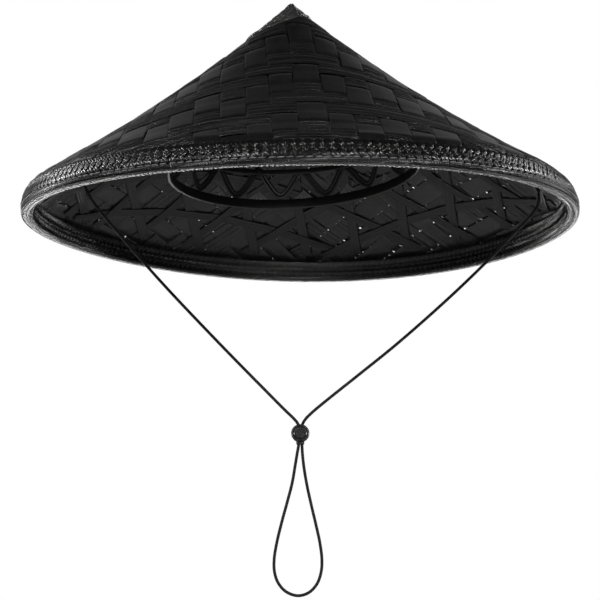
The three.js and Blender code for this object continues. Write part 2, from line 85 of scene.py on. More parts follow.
# The chin cord: the CAD model's routes, in metres.
CORD_DIAMETER = 0.0023
LEFT_LEG_ROUTE = [
    (-0.165, 0, -0.0081), (-0.1644, 0, -0.0125), (-0.1615, 0, -0.02), (-0.1544, 0, -0.031),
    (-0.143, 0, -0.045), (-0.131, 0, -0.059), (-0.1175, 0, -0.0746), (-0.098, 0, -0.0962),
    (-0.075, 0, -0.1206), (-0.05, 0, -0.1466), (-0.028, 0, -0.169), (-0.012, 0, -0.1852),
    (-0.0046, 0, -0.1924), (-0.0018, 0, -0.196), (-0.0012, 0, -0.1985),
]
RIGHT_LEG_ROUTE = [
    (0.1815, 0, -0.0197), (0.1818, 0, -0.0235), (0.1804, 0, -0.0298), (0.1755, 0, -0.037),
    (0.1654, 0, -0.0476), (0.1536, 0, -0.06), (0.1412, 0, -0.0728), (0.12, 0, -0.0934),
    (0.096, 0, -0.1154), (0.07, 0, -0.138), (0.044, 0, -0.159), (0.02, 0, -0.1782),
    (0.009, 0, -0.1874), (0.0041, 0, -0.1923), (0.0018, 0, -0.196), (0.0012, 0, -0.1985),
]
LOOP_ROUTE = [
    (-0.0012, 0, -0.21), (-0.0013, 0, -0.2125), (-0.0021, 0, -0.217), (-0.0037, 0, -0.2266),
    (-0.006, 0, -0.24), (-0.0096, 0, -0.254), (-0.0137, 0, -0.269), (-0.0173, 0, -0.284),
    (-0.0192, 0, -0.296), (-0.019, 0, -0.305), (-0.0164, 0, -0.313), (-0.0106, 0, -0.3196),
    (-0.002, 0, -0.3226), (0.0062, 0, -0.3204), (0.0124, 0, -0.3138), (0.0154, 0, -0.305),
    (0.0159, 0, -0.296), (0.0145, 0, -0.2844), (0.0117, 0, -0.2714), (0.0083, 0, -0.257),
    (0.005, 0, -0.242), (0.0026, 0, -0.2276), (0.0016, 0, -0.218), (0.0013, 0, -0.2125),
    (0.0012, 0, -0.21),
]


# ---- camera, floor and light

FOCAL_LENGTH = 111.35
FILM_WIDTH = 36
CAMERA_PLACE = (-0.0002, -1.3787, -0.3455)
CAMERA_TURN = math.radians(90 + 10.004)
SPARKLE_TURNS = (-100, -62, -24, 16, 54, 96)
SPARKLE_REACH = 1.6
FLOOR_DROP = 0.5
FLOOR_HALF = 3.0


def add_object(name, data):
    made = bpy.data.objects.new(name, data)
    bpy.context.scene.collection.objects.link(made)
    return made


def add_camera():
    """The viewer looks slightly up at the hat's front from 1.4 m."""
    data = bpy.data.cameras.new("camera")
    data.lens = FOCAL_LENGTH
    data.sensor_width = FILM_WIDTH
    camera = add_object("camera", data)
    camera.location = CAMERA_PLACE
    camera.rotation_euler = (CAMERA_TURN, 0, 0)
    bpy.context.scene.camera = camera
    bpy.context.scene.view_settings.view_transform = "Standard"


def add_area_light(name, place, size, power, target=(0, 0, 0)):
    data = bpy.data.lights.new(name, "AREA")
    data.shape = "RECTANGLE"
    data.size, data.size_y = size
    data.energy = power
    light = add_object(name, data)
    light.location = place
    light.rotation_euler = (Vector(target) - Vector(place)).to_track_quat("-Z", "Y").to_euler()


def add_lights():
    """Soft boxes round the hat, and small lamps whose reflections sparkle on the plaited rim."""
    add_area_light("key", (-1.3, -1.5, 1.3), (0.9, 0.9), 1.6)
    add_area_light("fill", (1.5, -1.2, 0.6), (0.9, 0.9), 0.9)
    add_area_light("under", (0.1, -1.5, -0.36), (1.6, 0.3), 0.6, (0, 0.1, -0.02))
    add_area_light("side_left", (-1.6, 0.7, 0.7), (0.5, 1.2), 5.5)
    add_area_light("side_right", (1.6, 0.7, 0.7), (0.5, 1.2), 5)
    for turn in SPARKLE_TURNS:
        side, front = math.sin(math.radians(turn)), math.cos(math.radians(turn))
        place = (SPARKLE_REACH * side, -SPARKLE_REACH * front, 0.62)
        add_area_light("sparkle_%d" % turn, place, (0.08, 0.08), 3.6)
    add_area_light("low_left", (-1.6, 1.7, -0.22), (0.5, 0.24), 6)
    add_area_light("low_right", (1.6, 1.7, -0.22), (0.5, 0.24), 6)
    add_area_light("low_back", (0, 1.2, -0.345), (1.3, 0.06), 3)
    add_area_light("low_front", (0.3, -1.5, -0.42), (0.09, 0.09), 2)


def add_world():
    """White to the eye, and a softer grey for what the glossy strips reflect."""
    world = bpy.data.worlds.new("studio")
    world.use_nodes = True
    tree = world.node_tree
    tree.nodes.clear()
    seen = add_node(tree, "Background", {"Color": (1, 1, 1, 1), "Strength": 1.0})
    place = tree.nodes.new("ShaderNodeTexCoord").outputs["Generated"]
    behind = add_node(tree, "SeparateXYZ", {0: place}).outputs["Y"]
    lit = add_node(tree, "Background", {"Strength": map_range(tree, behind, 0.6, 0.98, 0.02, 0.6)})
    to_camera = tree.nodes.new("ShaderNodeLightPath").outputs["Is Camera Ray"]
    mix = add_node(tree, "MixShader", {0: to_camera, 1: lit.outputs[0], 2: seen.outputs[0]})
    add_node(tree, "OutputWorld", {"Surface": mix.outputs[0]})
    bpy.context.scene.world = world


def add_floor():
    """A plain pale floor well below the chin cord."""
    level = CAD_BOX[0][2] - FLOOR_DROP
    mesh = bpy.data.meshes.new("floor")
    turns = ((-1, -1), (1, -1), (1, 1), (-1, 1))
    mesh.from_pydata([(x * FLOOR_HALF, y * FLOOR_HALF, level) for x, y in turns], [], [(0, 1, 2, 3)])
    finish, tree, shader = new_material("floor_pale")
    pale = {"Base Color": (0.62, 0.62, 0.615, 1), "Roughness": 0.85, "Specular IOR Level": 0.0}
    set_inputs(tree, shader, pale)
    mesh.materials.append(finish)
    add_object("floor", mesh)


# ---- mesh making

def quads(rows, columns, rows_close, columns_close):
    """Faces of a grid of points counted row by row."""
    i = np.arange(rows if rows_close else rows - 1)
    j = np.arange(columns if columns_close else columns - 1)
    a, b = np.meshgrid(i, j, indexing="ij")
    a_next, b_next = (a + 1) % rows, (b + 1) % columns
    corners = [a * columns + b, a * columns + b_next, a_next * columns + b_next, a_next * columns + b]
    return np.stack(corners, -1).reshape(-1, 4).tolist()


def shade_smooth(mesh, sharp):
    """Smooth shading, except across edges sharper than an angle in degrees."""
    mesh.polygons.foreach_set("use_smooth", np.ones(len(mesh.polygons), bool))
    mesh.set_sharp_from_angle(angle=math.radians(sharp))


class Piece:
    """Collects strands, in millimetres, and makes them one Blender object in metres."""

    def __init__(self, name):
        self.name = name
        self.points, self.marks, self.faces = [], [], []
        self.count = 0

    def add(self, grid, marks, faces):
        self.faces += [[self.count + k for k in face] for face in faces]
        self.points.append(grid.reshape(-1, 3))
        self.marks.append(marks.reshape(-1, 3))
        self.count += grid.shape[0] * grid.shape[1]

    def sweep(self, grid, marks, closed=False):
        """Adds a strand from rings of section points: grid is (rings, section, 3)."""
        rings, section = grid.shape[:2]
        faces = quads(rings, section, closed, True)
        if not closed:
            last = (rings - 1) * section
            faces += [list(reversed(range(section))), list(range(last, last + section))]
        self.add(grid, marks, faces)

    def thread(self, path, radius, sides, side_hint, along, number, spacing=0.4, closed=False):
        """Adds a thin round strand along a path; a closed one ends where it starts."""
        again = np.arange(-2, len(path) + 2) % len(path) if closed else np.arange(len(path))
        radius = np.broadcast_to(radius, len(path))
        grid = tube_grid(path[again], radius[again], sides, side_hint)
        marks = strand_marks(np.arange(sides) * spacing, along[:, None], number)
        self.sweep(grid[2:-2] if closed else grid, marks, closed)

    def sheet(self, grid, marks):
        """Adds an open sheet whose sides are free edges."""
        self.add(grid, marks, quads(*grid.shape[:2], False, False))

    def make(self, finish, stands_for=(), body="hat", sharp=40, slot=None):
        points = np.concatenate(self.points) * MM
        mesh = bpy.data.meshes.new(self.name)
        mesh.from_pydata(points.tolist(), [], self.faces)
        shape = bmesh.new()
        shape.from_mesh(mesh)
        bmesh.ops.recalc_face_normals(shape, faces=shape.faces)
        shape.to_mesh(mesh)
        shape.free()
        shade_smooth(mesh, sharp)
        strand = mesh.attributes.new("strand", "FLOAT_VECTOR", "POINT")
        strand.data.foreach_set("vector", np.concatenate(self.marks).astype(np.float32).ravel())
        mesh.materials.append(finish)
        made = add_object(self.name, mesh)
        if stands_for:
            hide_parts(*stands_for)
        if body:
            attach(made, body)
        return made


def strand_marks(across, along, number):
    """Place across and along a strand in millimetres, and the strand's own number."""
    return np.stack(np.broadcast_arrays(across, along, float(number)), -1)


def catmull_rom(route, steps):
    """Points evenly along a centripetal Catmull-Rom curve through the route."""
    p = np.array(route, float)
    p = np.vstack([2 * p[0] - p[1], p, 2 * p[-1] - p[-2]])
    found = []
    for near in (p[k:k + 4] for k in range(len(p) - 3)):
        knots = [0.0]
        for a, b in zip(near, near[1:]):
            knots.append(knots[-1] + np.linalg.norm(b - a) ** 0.5)
        t = np.linspace(knots[1], knots[2], 40, endpoint=False)[:, None]

        def mix(start, end, a, b):
            span = end - start
            return (end - t) / span * a + (t - start) / span * b

        first = [mix(knots[i], knots[i + 1], near[i], near[i + 1]) for i in range(3)]
        second = [mix(knots[i], knots[i + 2], first[i], first[i + 1]) for i in range(2)]
        found.append(mix(knots[1], knots[2], *second))
    curve = np.vstack(found + [p[-2][None, :]])
    reach = np.concatenate([[0], np.cumsum(np.linalg.norm(np.diff(curve, axis=0), axis=1))])
    even = np.linspace(0, reach[-1], steps)
    return np.stack([np.interp(even, reach, curve[:, i]) for i in range(3)], -1), reach[-1]


def unit(rows):
    return rows / np.linalg.norm(rows, axis=1)[:, None]


def tube_grid(path, radius, sides, side_hint=(0, 1, 0)):
    """Rings of a round tube along a path."""
    path = np.asarray(path, float)
    ahead = unit(np.gradient(path, axis=0))
    hint = np.broadcast_to(np.array(side_hint, float), path.shape)
    first = unit(hint - (hint * ahead).sum(1)[:, None] * ahead)
    second = np.cross(ahead, first)
    angle = np.arange(sides) * TURN / sides
    size = np.broadcast_to(np.asarray(radius, float), (len(path),))[:, None, None]
    ring = np.cos(angle)[None, :, None] * first[:, None] + np.sin(angle)[None, :, None] * second[:, None]
    return path[:, None] + size * ring


# ---- the cone's wall

def cone_height(radius):
    share = radius / CONE_RADIUS
    rise = (CONE_HEIGHT - CONE_FOOT_HEIGHT) * (1 - share)
    return CONE_FOOT_HEIGHT + rise - 4 * CONE_SAG * share * (1 - share)


def cone_point(radius, depth):
    """Radius and height at a radius of the cone's slope and a depth below its outer face."""
    fall = -(CONE_HEIGHT - CONE_FOOT_HEIGHT) - 4 * CONE_SAG * (1 - 2 * radius / CONE_RADIUS)
    slope = fall / CONE_RADIUS
    length = np.hypot(1, slope)
    return radius + depth * slope / length, cone_height(radius) - depth / length


def seat(points):
    """Moves points counted from the true cone's rim to where the leaning, warped hat has them."""
    x, y, z = points[..., 0], points[..., 1], points[..., 2]
    lift = (RIM_SADDLE * (x ** 2 - y ** 2) + 2 * RIM_TWIST * x * y) / RIM_RADIUS ** 2
    return np.stack([x + TIP_LEAN * z / CONE_HEIGHT, y, z + lift - SEAT_HEIGHT], -1)


class Profile:
    """A smooth line of [radius, height] points, measured by its length from the start."""

    def __init__(self, points):
        points = np.asarray(points, float)
        steps = np.linalg.norm(np.diff(points, axis=0), axis=1)
        self.reach = np.concatenate([[0], np.cumsum(steps)])
        self.points = points
        tangent = np.gradient(points, self.reach, axis=0)
        for _ in range(6):
            tangent[1:-1] = (tangent[:-2] + tangent[1:-1] * 2 + tangent[2:]) / 4
        tangent = unit(tangent)
        self.inward = np.stack([tangent[:, 1], -tangent[:, 0]], -1)
        self.length = self.reach[-1]

    def at(self, reach, depth):
        """Radius and height at a reach along the line and a depth to its inner side."""
        return [np.interp(reach, self.reach, place) + depth * np.interp(reach, self.reach, inward)
                for place, inward in zip(self.points.T, self.inward.T)]


def smooth_profile(corners, step=0.6):
    """A profile through a few corners, rounded between them."""
    route = [(r, 0, z) for r, z in corners]
    rough = sum(math.dist(a, b) for a, b in zip(corners, corners[1:]))
    curve, _ = catmull_rom(route, int(rough / step) + 2)
    return Profile(curve[:, [0, 2]])


def wall_profile():
    """The cone's outer face from the tip to the rim's foot."""
    radii = np.arange(0, CONE_END_RADIUS, 1.0)
    slope_part = np.stack([radii, cone_height(radii)], -1)
    corners = [tuple(slope_part[-12]), tuple(slope_part[-1]), *RIM_SHELL_EDGE]
    turned = smooth_profile(corners).points
    turned = turned[turned[:, 0] > radii[-1] + 0.5]
    return Profile(np.vstack([slope_part, turned]))


WALL = wall_profile()


def around(radius, azimuth, height):
    east, north = radius * np.cos(azimuth), radius * np.sin(azimuth)
    return np.stack(np.broadcast_arrays(east, north, height), -1)


def round_steps(count):
    """Even azimuths round a hoop, one row each."""
    return np.arange(count)[:, None] * TURN / count


def smoothstep(x):
    x = np.clip(x, 0, 1)
    return x * x * (3 - 2 * x)


# ---- materials

def set_inputs(tree, node, values):
    """Sets a node's inputs to numbers, or links them to other nodes' outputs."""
    for label, value in values.items():
        if isinstance(value, bpy.types.NodeSocket):
            tree.links.new(value, node.inputs[label])
        else:
            node.inputs[label].default_value = value


def add_node(tree, kind, values, operation=None):
    node = tree.nodes.new("ShaderNode" + kind)
    if operation:
        node.operation = operation
    set_inputs(tree, node, values)
    return node


def new_material(name):
    finish = bpy.data.materials.new(name)
    finish.use_nodes = True
    return finish, finish.node_tree, finish.node_tree.nodes["Principled BSDF"]


def strand_mark(tree):
    """The strand attribute: place across and along, and the strand's number."""
    mark = tree.nodes.new("ShaderNodeAttribute")
    mark.attribute_name = "strand"
    return mark.outputs["Vector"]


def noise(tree, vector, detail, scale=1.0):
    values = {"Vector": vector, "Scale": scale, "Detail": detail, "Roughness": 0.6}
    return add_node(tree, "TexNoise", values).outputs["Fac"]


def strand_noise(tree, stretch, detail):
    """Noise that runs with the strands: stretch scales it across, along and by number."""
    place = add_node(tree, "VectorMath", {0: strand_mark(tree), 1: stretch}, "MULTIPLY")
    return noise(tree, place.outputs[0], detail)


def ramp(tree, value, stops):
    node = add_node(tree, "ValToRGB", {"Fac": value})
    cells = node.color_ramp.elements
    while len(cells) < len(stops):
        cells.new(0.5)
    for cell, (place, color) in zip(cells, stops):
        cell.position = place
        cell.color = (*color, 1)
    return node.outputs["Color"]


def map_range(tree, value, low, high, new_low, new_high):
    values = {"Value": value, "From Min": low, "From Max": high, "To Min": new_low, "To Max": new_high}
    return add_node(tree, "MapRange", values).outputs[0]


def uneven(tree, value, low, high):
    """Noise, spread between two levels."""
    return map_range(tree, value, 0.3, 0.7, low, high)


def bump(tree, height, strength, distance, under=None):
    values = {"Height": height, "Strength": strength, "Distance": distance}
    if under is not None:
        values["Normal"] = under
    return add_node(tree, "Bump", values).outputs["Normal"]


def dyed_bamboo(name, dark, light, rough, coat=0.0, fibre=3.0, relief=0.35):
    """Split bamboo under black dye: long fibres, uneven dye from strip to strip, satin gloss. The levels
    given for the thread, edge twist, gusset and cap winding finishes are raised to paint highlights.
    """
    finish, tree, shader = new_material(name)
    fibres = strand_noise(tree, (fibre, 0.035, 17.3), 5)
    pores = strand_noise(tree, (fibre * 2.6, 0.35, 5.1), 3)
    patches = strand_noise(tree, (0.06, 0.03, 3.77), 2)
    dye = add_node(tree, "Math", {0: fibres, 1: 0.6, 2: uneven(tree, patches, 0.0, 0.45)}, "MULTIPLY_ADD")
    grain = bump(tree, pores, relief * 0.5, 0.0001)
    set_inputs(tree, shader, {
        "Base Color": ramp(tree, dye.outputs[0], [(0.2, dark), (0.55, light), (0.85, dark)]),
        "Roughness": uneven(tree, pores, rough - 0.07, rough + 0.1),
        "Normal": bump(tree, fibres, relief, 0.00025, grain),
        "Specular IOR Level": 0.5, "Coat Weight": coat, "Coat Roughness": 0.18,
    })
    return finish


def crossing_threads(tree, across_scale, along_scale):
    """Height of two sets of fine threads that cross round a strand."""
    waves = []
    for lean in (along_scale, -along_scale):
        slant = {0: strand_mark(tree), 1: (across_scale, lean, 0)}
        phase = add_node(tree, "VectorMath", slant, "DOT_PRODUCT").outputs["Value"]
        waves.append(add_node(tree, "Math", {0: phase}, "COSINE").outputs[0])
    return add_node(tree, "Math", {0: waves[0], 1: waves[1]}, "MAXIMUM").outputs[0]


def cord_material():
    """Black elastic with a fine braided sheath."""
    finish, tree, shader = new_material("cord_black")
    threads = strand_noise(tree, (6.0, 2.4, 1.0), 3)
    sheath = crossing_threads(tree, 5.73, 4.6)
    fluff = bump(tree, threads, 0.3, 0.0001)
    set_inputs(tree, shader, {
        "Base Color": ramp(tree, threads, [(0.3, grey(0.003)), (0.7, (0.012, 0.012, 0.013))]),
        "Roughness": uneven(tree, threads, 0.5, 0.75),
        "Normal": bump(tree, sheath, 0.5, 0.00008, fluff),
        "Sheen Weight": 0.15, "Sheen Roughness": 0.4,
    })
    return finish


def plastic_material(name, tint, rough):
    """Moulded plastic with a fine spark-eroded grain."""
    finish, tree, shader = new_material(name)
    place = tree.nodes.new("ShaderNodeTexCoord").outputs["Object"]
    grain = noise(tree, place, 4, 2600.0)
    cloud = noise(tree, place, 2, 260.0)
    low = tuple(c * 0.8 for c in tint)
    set_inputs(tree, shader, {
        "Base Color": ramp(tree, cloud, [(0.3, low), (0.7, tint)]),
        "Roughness": uneven(tree, cloud, rough - 0.06, rough + 0.06),
        "Normal": bump(tree, grain, 0.25, 0.00005),
    })
    return finish


def steel_material():
    finish, tree, shader = new_material("spring_steel")
    marks = noise(tree, tree.nodes.new("ShaderNodeTexCoord").outputs["Object"], 4, 1800.0)
    set_inputs(tree, shader, {
        "Base Color": ramp(tree, marks, [(0.3, (0.42, 0.42, 0.43)), (0.7, (0.6, 0.6, 0.61))]),
        "Roughness": uneven(tree, marks, 0.22, 0.36),
        "Metallic": 1.0,
    })
    return finish


def grey(level):
    return (level, level, level)


SHELL_FINISH = dyed_bamboo("bamboo_shell", grey(0.003), (0.0125, 0.0122, 0.012), 0.32, 0.08, 1.2)
ROW_FINISH = dyed_bamboo("bamboo_shell_rows", grey(0.002), (0.017, 0.0168, 0.0165), 0.24, 0.15, 1.7, 0.8)
LINING_FINISH = dyed_bamboo("bamboo_lining", grey(0.0025), (0.0075, 0.0073, 0.007), 0.38, 0.0, 1.6)
# The gusset plait's pale base colour is painted light: it stands in for the sheen that lights the gussets
# up in the ring's shade.
GUSSET_PAINTED_LIGHT_FINISH = dyed_bamboo("gusset_plait_painted_light", (0.05, 0.05, 0.049), (0.16, 0.158, 0.155), 0.3, 0.1, 3.0, 0.6)
BRAID_FINISH = dyed_bamboo("straw_braid", grey(0.003), (0.01, 0.0098, 0.0095), 0.2, 0.4, 2.0, 0.5)
HOOP_FINISH = dyed_bamboo("cane_hoop", grey(0.004), (0.012, 0.0115, 0.011), 0.33, 0.1, 2.2, 0.25)
RING_FINISH = dyed_bamboo("cane_ring", grey(0.0022), (0.006, 0.0058, 0.0056), 0.4, 0.0, 2.2, 0.25)
# The sewing thread's light grey colour is a painted highlight: it stands in for the bright sparkle along
# the stitched lines.
THREAD_PAINTED_SPARKLE_FINISH = dyed_bamboo("sewing_thread", grey(0.1), grey(0.32), 0.24, 0.4, 6.0)
# The edge twist's light grey colour is a painted highlight: it draws the bright line of light along the
# rim's lower edge.
EDGE_PAINTED_HIGHLIGHT_FINISH = dyed_bamboo("edge_twist", grey(0.02), grey(0.08), 0.2, 0.5, 3.0)
# The cap winding's lighter grey is a painted highlight: it stands in for the many bright glints on the
# tip's winding.
WINDING_PAINTED_GLINT_FINISH = dyed_bamboo("cap_winding_painted_glints", grey(0.007), (0.055, 0.054, 0.053), 0.16, 0.6, 1.6, 0.5)
CORD_FINISH = cord_material()


# ---- the chin cord

CORD_STEP = 0.0006
CORD_SIDES = 18
KNOT_SIZE = 1.75
CORD_KNOT_THICKNESS = 0.95
LOOP_BLEND_STRETCH = 1.57


def cord_tube(node, route):
    """One stretch of the cord."""
    _, length = catmull_rom(route, 2)
    path, length = catmull_rom(route, int(length / CORD_STEP))
    piece = Piece(node + "_run")
    width = np.arange(CORD_SIDES) * math.pi * CORD_DIAMETER / CORD_SIDES / MM
    along = np.linspace(0, length, len(path))[:, None] / MM
    grid = tube_grid(path, CORD_DIAMETER / 2, CORD_SIDES)
    piece.sweep(grid / MM, strand_marks(width, along, 1))
    made = piece.make(CORD_FINISH, [node], body=None, sharp=80, slot="cord")
    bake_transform(made)
    return made, path, length


def add_cords(lock_pieces):
    lock_top = (0, 0, LEFT_LEG_ROUTE[-1][2])
    lock_foot = (0, 0, LOOP_ROUTE[0][2])
    loop_bottom = min(point[2] for point in LOOP_ROUTE)
    loop_end = (0, 0, lock_foot[2] + LOOP_BLEND_STRETCH * (loop_bottom - lock_foot[2]))
    left_ends = ("chin_strap", "cord_lock", LEFT_LEG_ROUTE[0], lock_top)
    right_ends = ("chin_strap", "cord_lock", RIGHT_LEG_ROUTE[0], lock_top)
    stretches = (
        ("chin_cord_left", LEFT_LEG_ROUTE, left_ends, lock_pieces),
        ("chin_cord_right", RIGHT_LEG_ROUTE, right_ends, []),
        ("chin_cord_loop", LOOP_ROUTE, ("cord_lock", "chin_strap", lock_foot, loop_end), []),
    )
    for node, route, ends, others in stretches:
        made, path, measured = cord_tube(node, route)


def box_centre(node):
    """Middle of a CAD node's box, in millimetres."""
    low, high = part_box(node)
    return np.array((low + high) / 2 / MM)


def add_knot(name, node, centre, thickness, finish, slot):
    """An overhand knot pulled into a small bud."""
    t = np.linspace(0, TURN, 96, endpoint=False)
    x = np.sin(t) + 2 * np.sin(2 * t)
    y = np.cos(t) - 2 * np.cos(2 * t)
    z = -1.3 * np.sin(3 * t)
    path = np.stack([x, z, y], -1) * KNOT_SIZE / 3
    piece = Piece(name)
    piece.thread(path + centre, thickness, 10, (0.11, 0.93, 0.35), t * 6, 3, closed=True)
    piece.make(finish, [node], slot=slot, sharp=80)


def add_cord_knots():
    for side in ("left", "right"):
        node = "cord_anchor_" + side
        add_knot("cord_knot_" + side, node, box_centre(node), CORD_KNOT_THICKNESS, CORD_FINISH, "cord")


# ---- the outer cone's weave

MAT_SECTOR = 0.7916
MAT_LAP = 0.05
MAT_TILT = math.radians(1.6)
MAT_END = WALL.length - 0.8
MAT_CALM_REACH = WALL.length - 20
UPRIGHT_PITCH = 18.3
UPRIGHT_PHASE = -5.0
ROW_PITCH = 19.3
FIRST_ROW = 15.3
STRIP_THICKNESS = 0.5
WEAVE_LIFT = 0.68
WEAVE_DEPTH = 0.62
BEND_HALF = 3.2
CROSS_STRIP_PIECES = 5
MOST_UPRIGHTS = 30
ROWS_BELOW = 14
ROWS_ABOVE = 13
FIRST_SPLINT = 40
MOST_SPLINTS = 7
STRIP_STEP = 2.2
EDGE_WAVES = ((0.45, 41), (0.3, 19), (0.16, 8.3))

# Open splits between splints: place along the strip, place across the mat, half length, half width.
SPLIT_GAPS = [(-67, 231, 17, 1.7), (-60, 211, 14, 0.8), (90, 127, 12, 0.9), (22, 190, 20, 0.7)]
SPLIT_REACH = 2.1


def mat_point(u, v, depth):
    """A point of the flat woven mat rolled into the cone; v runs down the front, u to its right."""
    reach = np.hypot(u, v)
    angle = np.arctan2(u, v) + MAT_TILT
    lap = smoothstep((np.abs(angle) - (math.pi * MAT_SECTOR - 0.14)) / 0.12)
    lap_out = np.where(angle > 0, -1.15, 0.25) * lap
    radius, height = WALL.at(reach, depth + lap_out)
    return seat(around(radius, -math.pi / 2 + angle / MAT_SECTOR, height))


def strip_edges(start, end, pitch, random):
    """Boundaries between neighbouring strips, a little uneven."""
    count = int(round((end - start) / pitch))
    edges = start + pitch * np.arange(count + 1)
    edges[1:-1] += random.uniform(-1.3, 1.3, count - 1)
    return edges


def level_along(place, edges, signs, ease=BEND_HALF):
    """Runs from one sign to the next at each edge, eased over a short reach on both sides."""
    level = np.full(np.shape(place), float(signs[0]))
    for edge, before, after in zip(edges[1:-1], signs, signs[1:]):
        if before != after:
            level = level + (after - before) * smoothstep((place - edge + ease) / (2 * ease))
    return level


def flat_section():
    """Section of a smooth strip, arched a little: share across and height."""
    half = STRIP_THICKNESS / 2
    top = [(0.0, 0.0), (0.02, half * 0.8), (0.08, half), (0.3, half * 1.5), (0.5, half * 1.65),
           (0.7, half * 1.5), (0.92, half), (0.98, half * 0.8), (1.0, 0.0)]
    bottom = [(0.97, -half), (0.66, -half), (0.33, -half), (0.03, -half)]
    return np.array(top + bottom)


def splint_section(random):
    """Section of one coarse, arched splint of a cross strip, with a lengthwise groove."""
    half = STRIP_THICKNESS / 2
    share = np.array([0.0, 0.05, 0.14, 0.27, 0.4, 0.52, 0.64, 0.77, 0.88, 0.96, 1.0])
    crest = half * random.uniform(1.5, 2.5)
    height = crest * (1 - np.abs(2 * share - 1) ** 2.4) + random.uniform(-0.25, 0.25) * (share - 0.5)
    height[random.integers(3, 8)] -= random.uniform(0.06, 0.18)
    height[0] = height[-1] = 0
    bottom = [(0.95, -half), (0.5, -half), (0.05, -half)]
    return np.array(list(zip(share, height)) + bottom)


def splint_lines(low, high, over_places, random):
    """Wandering lines that split a cross strip lengthwise into a few splints."""
    count = int(random.integers(4, 7))
    places = np.arange(count + 1) / count
    places[1:-1] += random.uniform(-0.07, 0.07, count - 1)
    lines = [(low, low)]
    for place in places[1:-1]:
        waver = wobble(random)
        gap = random.uniform(0.02, 0.1)

        def line(x, side, place=place, waver=waver, gap=gap):
            middle = low(x) + place * (high(x) - low(x)) + 0.9 * waver(x)
            opened = gap
            for wanted, across, half_long, half_wide in SPLIT_GAPS:
                where = min(over_places, key=lambda x: abs(x - wanted))
                if abs(low(where) + place * (high(where) - low(where)) - across) < SPLIT_REACH:
                    swell = np.clip(1 - ((x - where) / half_long) ** 2, 0, 1)
                    opened = opened + half_wide * swell
            return middle + side * opened
        lines.append((lambda x, line=line: line(x, -1), lambda x, line=line: line(x, 1)))
    lines.append((high, high))
    return [(before[1], after[0]) for before, after in zip(lines, lines[1:])]


def wobble(random):
    """A slow unevenness of a strip's edge along its length."""
    phases = random.uniform(0, TURN, len(EDGE_WAVES))
    return lambda x: sum(size * np.sin(x / length + phase)
                         for (size, length), phase in zip(EDGE_WAVES, phases))


def edge_gap(random):
    """Half of the gap between two neighbouring strips: most touch, some let light through."""
    return random.uniform(0.5, 0.85) if random.random() < 0.28 else random.uniform(0.06, 0.16)


def weave_signs(columns, rows, random):
    """Over-two, under-two twill whose diagonal wanders from column to column."""
    offset = np.zeros(columns, int)
    run = 1
    for i in range(1, columns):
        if random.random() < 0.3:
            run = -run
        offset[i] = offset[i - 1] + run
    j = np.arange(rows)
    over = ((j[None, :] + offset[:, None]) % 4) < 2
    return np.where(over, 1, -1) * random.uniform(0.8, 1.5, over.shape)


def mat_strip(piece, low, high, span, section, level, number, upright, push=0.0):
    """One strip of the mat, between its two wandering edges, over its span lengthwise."""
    share, rise = section[:, 0], section[:, 1]
    middle = (low(0.0) + high(0.0)) / 2
    longest = max(abs(b - a) for a, b in (span(middle - 8), span(middle), span(middle + 8)))
    rings = max(int(longest / STRIP_STEP), 4)
    fractions = np.linspace(0, 1, rings)[:, None]
    rough_across = low(0.0) + share * (high(0.0) - low(0.0))
    limits = np.array([span(a) for a in rough_across])
    along = limits[None, :, 0] + fractions * (limits[:, 1] - limits[:, 0])[None, :]
    across = low(along) + share[None, :] * (high(along) - low(along))
    calm = 1 - 0.75 * smoothstep((np.hypot(across, along) - MAT_CALM_REACH) / 8)
    depth = WEAVE_DEPTH - calm * (WEAVE_LIFT * level(along) + push) - rise[None, :]
    u, v = (across, along) if upright else (along, across)
    grid = mat_point(u, v, depth)
    width = np.cumsum(np.abs(np.diff(share, prepend=share[0]))) * UPRIGHT_PITCH
    piece.sweep(grid, strand_marks(width, along, number))


